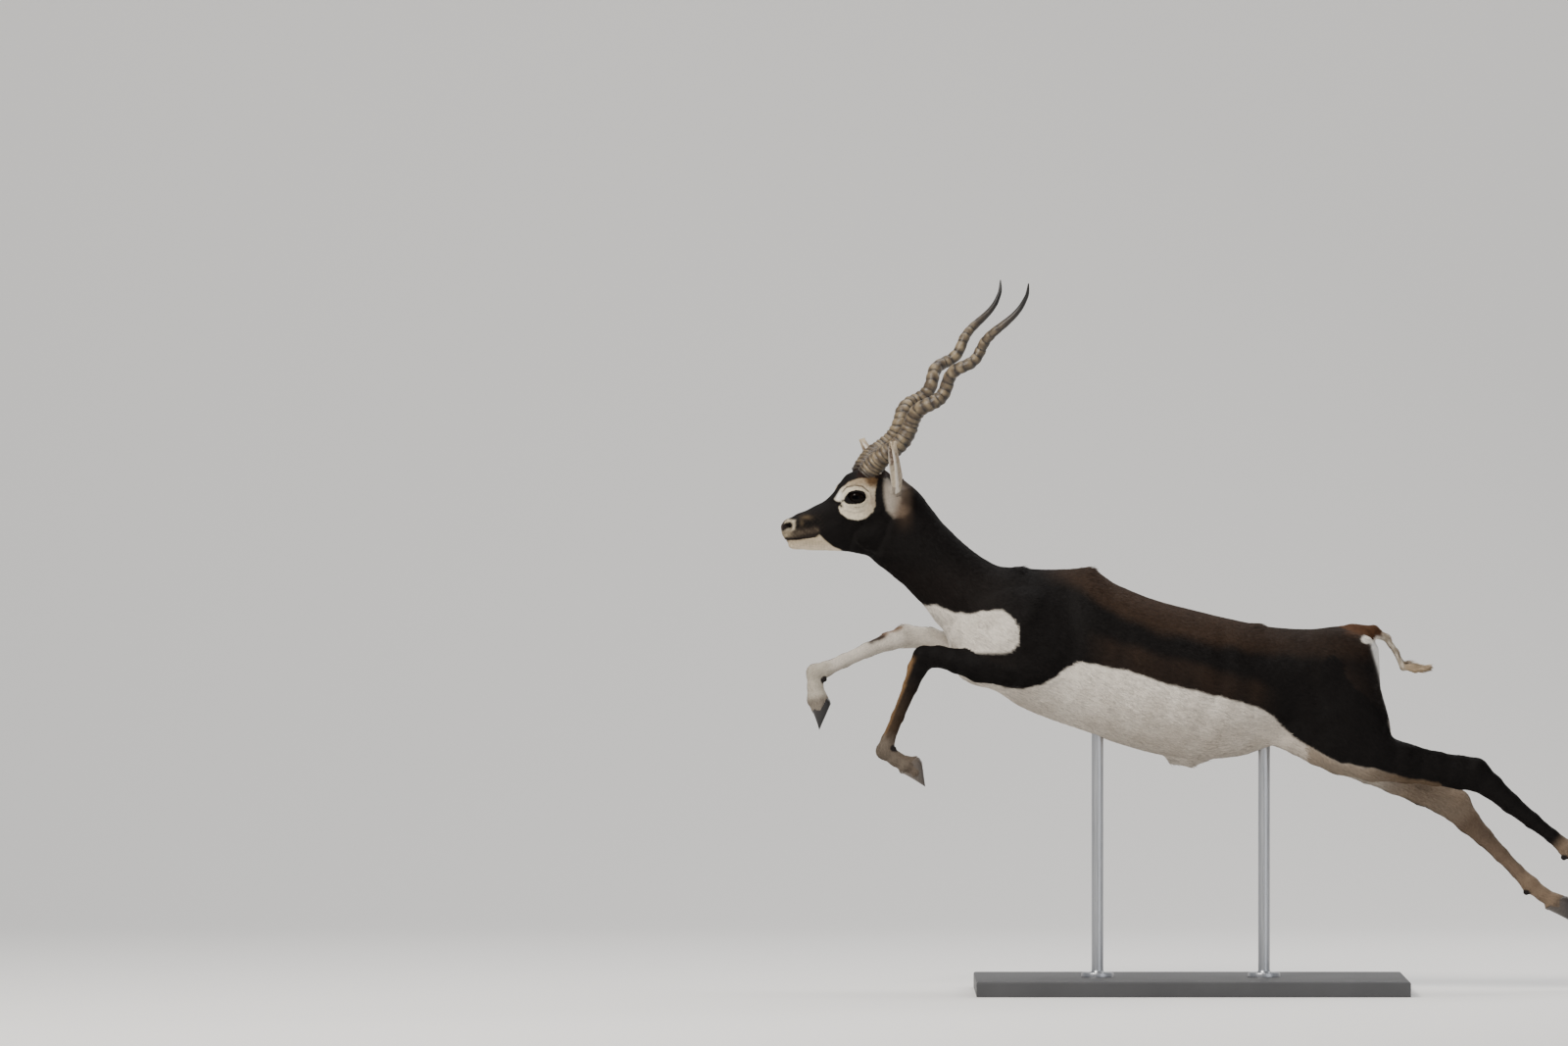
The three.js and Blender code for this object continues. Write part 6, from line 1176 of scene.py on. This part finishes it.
for name, side in (("left", -1), ("right", 1)):
    m, n = ((440, 38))
    t = -0.05 + 1.05 * np.linspace(0, 1, m)
    C0 = horn_point(side, t); D = horn_point(side, t + 0.003) - horn_point(side, t - 0.003); D /= np.linalg.norm(D, axis=1, keepdims=True)
    root = np.maximum(0, (-t - 0.026) / 0.024)
    C0[:, 0] += 9 * root; C0[:, 1] -= side * 6 * root; C0[:, 2] -= 2 * root
    Bv = np.array([0, 1.0, 0]) - D * D[:, 1:2]; Bv /= np.linalg.norm(Bv, axis=1, keepdims=True); Cv = np.cross(D, Bv)
    base_r = np.interp(np.clip(t, 0, 1), np.linspace(0, 1, 240), HORN_R) * (1 - 0.35 * root)
    # rings stand close at the root and open out up the horn; the last quarter is smooth
    rngs = np.random.default_rng(70 + side)
    edge = np.cumsum(np.concatenate([[0], np.linspace(0.55, 1.45, 33) * rngs.uniform(0.75, 1.25, 33)])); edge = -0.03 + edge / edge[-1] * 0.86
    num = np.interp(t, edge, np.arange(34))
    high = rngs.uniform(0.62, 1.12, 40)
    fade = ss(-0.05, -0.03, t) * ss(0.88, 0.72, t)
    ang = np.linspace(0, 2 * math.pi, n, endpoint=False)[None]
    phase = num[:, None] + 0.13 * np.sin(ang + 1.3 * side) + 0.06 * np.sin(2 * ang + 1.7 + 9 * t[:, None]) + 0.03 * np.sin(5 * ang + 31 * t[:, None])
    saw = phase - np.floor(phase)
    ridge = np.where(saw < 0.62, np.sin(np.clip(saw / 0.62, 0, 1) * math.pi / 2) ** 0.9, np.cos(np.clip((saw - 0.62) / 0.38, 0, 1) * math.pi / 2) ** 0.75)
    ridge = 0.82 * ridge ** 1.9 + 0.18 * np.abs(np.sin(3 * math.pi * saw)) * (1 - 0.5 * ridge)
    amp = high[np.clip(np.floor(phase).astype(int), 0, 39)] * (0.80 + 0.20 * np.cos(ang - 0.6 * side))
    rr = base_r[:, None] * (0.925 + 0.165 * fade[:, None] * ridge * amp + 0.06 * (1 - fade[:, None]))
    rr *= 1 + 0.008 * np.sin(13 * ang + 24 * t[:, None]) + 0.006 * np.sin(22 * ang - 40 * t[:, None])
    R = C0[:, None, :] + rr[..., None] * (np.cos(ang)[..., None] * Bv[:, None, :] + np.sin(ang)[..., None] * Cv[:, None, :])
    wx, wy, wz = from_head(R[..., 0], R[..., 1], R[..., 2]); R = np.stack([wx, wy, wz], -1)
    V, T3 = tube(R)
    rid = (fade[:, None] * ridge).ravel(); tt_ = np.repeat(t, n)
    vp = V[:m * n]
    # ridges of the rings are lighter as painted highlight and the grooves darker as painted shade
    ridge_lit = mix(rgb(132, 116, 90), rgb(84, 71, 55), np.clip(0.5 + wave(vp, 25, 60), 0, 1))
    groove_shade = mix(rgb(54, 45, 37), rgb(30, 25, 22), np.clip(0.5 + wave(vp, 12, 61), 0, 1))
    hc = mix(groove_shade, ridge_lit, np.clip(ss(-0.05, 0.62, rid + 0.16 * wave(vp, 5, 62) + 0.12 * wave(vp, 22, 63)), 0, 1))
    hc = mix(hc, mix(rgb(60, 51, 42), rgb(20, 18, 17), ss(0.80, 0.93, tt_)), ss(0.68, 0.86, tt_) * 0.95)
    # the rear side of the horn is darkened: painted shade
    off_ = vp - np.repeat(np.stack(from_head(C0[:, 0], C0[:, 1], C0[:, 2]), 1), n, 0)
    rearw = (off_[:, 0] * 0.8 - off_[:, 2] * 0.6) / np.maximum(np.repeat(base_r, n), 2)
    hc = hc * (1 - 0.62 * ss(-0.2, 0.9, rearw))[:, None]
    hc = mix(hc, rgb(38, 31, 27), ss(0.015, -0.02, tt_) * 0.85)
    hc = np.concatenate([hc, hc[:1], hc[-1:]])
    ob = make_mesh(f"horn_{name}_detail", V, T3, hc)
    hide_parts(f"horn_{name}")
    if side < 0:
        h = Nodes("horn_keratin")
        col = h.new("ShaderNodeAttribute", attribute_name="mark").outputs["Color"]
        geo = h.new("ShaderNodeNewGeometry").outputs["Position"]
        n1, n2 = h.noise(geo, 420, 4, 0.65), h.noise(geo, 90, 3, 0.6)
        h.link(h.tint(h.tint(col, n1, 0.8, 1.2), n2, 0.85, 1.15), h.b.inputs["Base Color"])
        h.const(Roughness=0.42, Specular_IOR_Level=0.45)
        h.bump(n1, 0.7, 0.0007)
        HORN_MAT = h.mat
    ob.data.materials.append(HORN_MAT)

eye = Nodes("eye_wet")
eye.link(eye.new("ShaderNodeAttribute", attribute_name="mark").outputs["Color"], eye.b.inputs["Base Color"])
eye.const(Roughness=0.10, Specular_IOR_Level=0.035, Coat_Weight=0.03, Coat_Roughness=0.02)
for name, side in (("left", -1), ("right", 1)):
    c = np.array([X(EYE_AT[0]), side * EYE_AT[2], Z(EYE_AT[1])])
    pole = np.array([-0.22, side * 1.0, 0.06]); pole /= np.linalg.norm(pole)
    hx = np.array([1.0, 0, 0]) - pole * pole[0]; hx /= np.linalg.norm(hx); vx = np.cross(pole, hx)
    m, n = 40, 56
    th = np.linspace(0.02, math.pi - 0.02, m); az = np.linspace(0, 2 * math.pi, n, endpoint=False)
    r = (EYE_R - 0.15) + 0.8 * np.exp(-(th / 0.55) ** 4)
    R = c + r[:, None, None] * (np.cos(th)[:, None, None] * pole + np.sin(th)[:, None, None] * (np.cos(az)[None, :, None] * hx + np.sin(az)[None, :, None] * vx))
    px, py = np.sin(th)[:, None] * np.cos(az), np.sin(th)[:, None] * np.sin(az)
    pup = ss(1.0, 0.8, np.sqrt((px / 0.44) ** 2 + (py / 0.22) ** 2)) * (th < 1.5)[:, None]
    iris = ss(0.80, 0.70, np.sin(th))[:, None] * (th < 1.5)[:, None] * np.ones((1, n))
    fib = 0.5 + 0.5 * np.sin(az * 23 + 3 * np.sin(az * 5))[None]
    ec = mix(np.broadcast_to(rgb(10, 8, 7), (m, n, 3)), mix(np.broadcast_to(rgb(19, 13, 10), (m, n, 3)), rgb(12, 9, 7), fib * np.ones((m, 1))), iris)
    ec = mix(ec, rgb(3, 3, 4), pup)
    wx, wy, wz = from_head(R[..., 0], R[..., 1], R[..., 2]); R = np.stack([wx, wy, wz], -1)
    V, T3 = tube(R); ec = ec.reshape(-1, 3)
    ob = make_mesh(f"eyeball_{name}", V, T3, np.concatenate([ec, ec[:1], ec[-1:]]))
    ob.data.materials.append(eye.mat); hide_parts(f"eye_{name}")

HOOFC = {"foreleg_left": (rgb(96, 86, 76), rgb(66, 59, 53)), "foreleg_right": (rgb(40, 36, 35), rgb(18, 17, 17)), "hindleg_left": (rgb(74, 66, 60), rgb(44, 40, 38)), "hindleg_right": (rgb(74, 66, 60), rgb(44, 40, 38))}
hoof = Nodes("hoof_horn")
hoof.link(hoof.tint(hoof.new("ShaderNodeAttribute", attribute_name="mark").outputs["Color"], hoof.noise(hoof.new("ShaderNodeNewGeometry").outputs["Position"], 300, 4, 0.6), 0.8, 1.25), hoof.b.inputs["Base Color"])
hoof.const(Roughness=0.38, Specular_IOR_Level=0.45)
hoof.bump(hoof.noise(hoof.new("ShaderNodeNewGeometry").outputs["Position"], 500, 3, 0.6), 0.5, 0.0005)
for name, (side, Fp, Hp, heel, toe, yc) in FEET.items():
    Fp, Hp, heel, toe = map(np.array, (Fp, Hp, heel, toe))
    l = np.linalg.norm(Hp - Fp); nrm = np.array([-(Hp - Fp)[1], (Hp - Fp)[0]]) / l
    for tag, outw in (("outer", side), ("inner", -side)):
        ringsl, cols = [], []
        lv, npt = 22, 30
        for i in range(-3, lv + 1):
            t = max(i, 0) / lv
            f = (Fp + (toe - Fp) * t).astype(float); b = (Hp + (heel - Hp) * t).astype(float)
            # wall slightly hollow in front, heel bulb full, rounded toe
            f = f + nrm * 0.0 + (b - f) / (np.linalg.norm(b - f) + 1e-9) * (0.9 * math.sin(math.pi * t) * 0.5)
            b = b + (b - f) / (np.linalg.norm(b - f) + 1e-9) * (0.9 * math.sin(math.pi * min(1, t * 1.1)))
            if i < 0:
                mid_ = (f + b) / 2; f = mid_ + (f - mid_) * (1 + 0.16 * i) - nrm * 0.75 * (-i); b = mid_ + (b - mid_) * (1 + 0.16 * i) - nrm * 0.75 * (-i)
            grow = (1 + 0.012 * math.sin(i * 2.2)) * (1 if i >= 0 else 1 + 0.12 * i)
            tipr = 1 if t < 0.86 else math.sqrt(max(0.0, 1 - ((t - 0.86) / 0.14) ** 2 * 0.75))
            wd = 17.0 * (1 - 0.10 * t) * grow
            ring = []
            for jj in range(npt):
                al = math.pi * jj / (npt - 1); s = (1 - math.cos(al)) / 2
                tap = t * (1 - s) * 0.42
                latr = wd * max(math.sin(al), 0) ** 0.66 * (1 - tap) * tipr + 1.15
                q = f + (b - f) * s
                ring.append([X(q[0]), side * yc + outw * latr, Z(q[1])])
            for jj in range(1, 5):
                s = 1 - jj / 5; q = f + (b - f) * s
                ring.append([X(q[0]), side * yc + outw * (1.15 - 0.25 * math.sin(math.pi * jj / 5)), Z(q[1])])
            ringsl.append(ring)
            for jj in range(len(ring)):
                s = (1 - math.cos(math.pi * jj / (npt - 1))) / 2 if jj < npt else 1 - (jj - npt + 1) / 5
                c_ = mix(HOOFC[name][0], HOOFC[name][1], min(1, max(0.0, t * 1.3 + 0.35 * (s - 0.5))))
                cols.append(c_ * (1 + 0.10 * math.sin(i * 2.2)))
        V, T3 = tube(ringsl)
        cols = np.array(cols + [cols[0], cols[-1]])
        ob = make_mesh(f"{name}_claw_{tag}", V, T3, cols)
        ob.data.materials.append(hoof.mat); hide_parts(f"{name}_hoof_{tag}")
        md = ob.modifiers.new("edge", "EDGE_SPLIT"); md.split_angle = rad(50)

# ---------------------------------------------------------------- stand
def rounded_plate():
    bm = bmesh.new(); bmesh.ops.create_cube(bm, size=1.0)
    for v in bm.verts: v.co = (v.co.x * 0.8, v.co.y * 0.48, (v.co.z + 0.5) * 0.028)
    top = [e for e in bm.edges if all(v.co.z > 0.02 for v in e.verts)]
    bmesh.ops.bevel(bm, geom=top, offset=0.004, segments=4, profile=0.5, affect="EDGES")
    me = bpy.data.meshes.new("plinth"); bm.to_mesh(me); bm.free()
    ob = bpy.data.objects.new("plinth", me); bpy.context.scene.collection.objects.link(ob)
    return ob


plinth = rounded_plate(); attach(plinth, "root"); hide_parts("stand_base")
b = Nodes("plinth_paint")
g = b.new("ShaderNodeNewGeometry").outputs["Position"]
gn = b.noise(g, 300, 4, 0.6)
b.link(b.ramp(b.noise(g, 6, 4, 0.6), [(0.3, (0.052, 0.052, 0.055)), (0.7, (0.072, 0.072, 0.075))]), b.b.inputs["Base Color"])
rr_ = b.new("ShaderNodeMapRange"); b.link(gn, rr_.inputs["Value"]); rr_.inputs["To Min"].default_value = 0.42; rr_.inputs["To Max"].default_value = 0.6
b.link(rr_.outputs[0], b.b.inputs["Roughness"]); b.bump(gn, 0.25, 0.0003)
plinth.data.materials.append(b.mat)
rodm = Nodes("rod_steel")
g = rodm.new("ShaderNodeNewGeometry").outputs["Position"]
mp = rodm.new("ShaderNodeMapping"); rodm.link(g, mp.inputs["Vector"]); mp.inputs["Scale"].default_value = (900, 900, 12)
sn_ = rodm.noise(mp.outputs[0], 1.0, 3, 0.6)
rodm.link(rodm.ramp(sn_, [(0.3, (0.42, 0.43, 0.45)), (0.7, (0.60, 0.61, 0.63))]), rodm.b.inputs["Base Color"])
rr_ = rodm.new("ShaderNodeMapRange"); rodm.link(sn_, rr_.inputs["Value"]); rr_.inputs["To Min"].default_value = 0.26; rr_.inputs["To Max"].default_value = 0.42
rodm.link(rr_.outputs[0], rodm.b.inputs["Roughness"]); rodm.const(Metallic=1.0); rodm.bump(sn_, 0.1, 0.0002)
for u_, nm, top in ((1120, "front", Z(750) + 29), (1290, "rear", Z(763) + 29)):
    prof = [(30, 28.3), (30, 34.3), (29.4, 35.6), (28.0, 36.3), (15.0, 36.3), (12.4, 37.2), (11.3, 39.4), (11, 42), (11, top)]
    az = np.linspace(0, 2 * math.pi, 64, endpoint=False)
    R = [np.stack([X(u_) + r_ * np.cos(az), r_ * np.sin(az), np.full(64, z_)], 1) for r_, z_ in prof]
    V, T3 = tube(R)
    ob = make_mesh(f"rod_{nm}", V, T3, None); ob.data.materials.append(rodm.mat)
    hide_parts(f"stand_rod_{nm}")
    md = ob.modifiers.new("edge", "EDGE_SPLIT"); md.split_angle = rad(35)

# ---------------------------------------------------------------- floor, light, camera
def backdrop():
    pr = [(-34.0, 0.0), (3.2, 0.0)] + [(3.2 + 2.6 * math.sin(a), 2.6 * (1 - math.cos(a))) for a in np.linspace(0.1, math.radians(78.5), 16)]  # low enough to see over from behind
    V, Fq = [], []
    for y_, z_ in pr: V += [(-22, y_, z_ - 0.0006), (20, y_, z_ - 0.0006)]
    for i in range(len(pr) - 1): Fq.append((2 * i, 2 * i + 1, 2 * i + 3, 2 * i + 2))
    me = bpy.data.meshes.new("backdrop"); me.from_pydata(V, [], Fq); me.update()
    for p_ in me.polygons: p_.use_smooth = True
    ob = bpy.data.objects.new("backdrop", me); bpy.context.scene.collection.objects.link(ob)
    fl = Nodes("paper"); fl.const(Roughness=0.9, Specular_IOR_Level=0.2, Emission_Strength=0.10)
    fl.b.inputs["Emission Color"].default_value = (1, 0.985, 0.96, 1); fl.b.inputs["Base Color"].default_value = (0.86, 0.845, 0.82, 1)
    me.materials.append(fl.mat)


backdrop()


def area(name, loc, aim, size, power, color=(1, 1, 1)):
    from mathutils import Vector
    li = bpy.data.lights.new(name, "AREA"); li.energy = power; li.shape = "RECTANGLE"; li.size, li.size_y = size; li.color = color
    ob = bpy.data.objects.new(name, li); bpy.context.scene.collection.objects.link(ob)
    ob.location = loc; ob.rotation_euler = (Vector(aim) - Vector(loc)).to_track_quat("-Z", "Y").to_euler()


area("key", (-2.4, -3.0, 3.9), (-0.1, 0, 0.75), (1.3, 1.3), 230, (1.0, 0.955, 0.89))
area("fill", (3.0, -4.2, 1.4), (0, 0, 0.7), (3.0, 2.4), 26, (0.93, 0.96, 1.0))
area("top", (0.2, 0.9, 4.2), (0, 0, 0.7), (3.2, 2.0), 90)
area("rim", (2.6, 2.6, 2.6), (0, 0, 0.8), (1.6, 1.6), 60, (1.0, 0.98, 0.95))
world = bpy.data.worlds.new("studio"); bpy.context.scene.world = world; world.use_nodes = True
world.node_tree.nodes["Background"].inputs[0].default_value = (0.86, 0.88, 0.92, 1); world.node_tree.nodes["Background"].inputs[1].default_value = 0.42

cam = bpy.data.cameras.new("camera"); cam.sensor_width = 36; cam.lens = 36 * 30 / 2.9091; cam.clip_start = 0.5; cam.clip_end = 200
co = bpy.data.objects.new("camera", cam); bpy.context.scene.collection.objects.link(co)
co.location = (X(800) / 1000, -30, Z(335) / 1000)
from mathutils import Vector
co.rotation_euler = (Vector((X(800) / 1000, 0, Z(533.5) / 1000)) - Vector(co.location)).to_track_quat("-Z", "Y").to_euler()
bpy.context.scene.camera = co

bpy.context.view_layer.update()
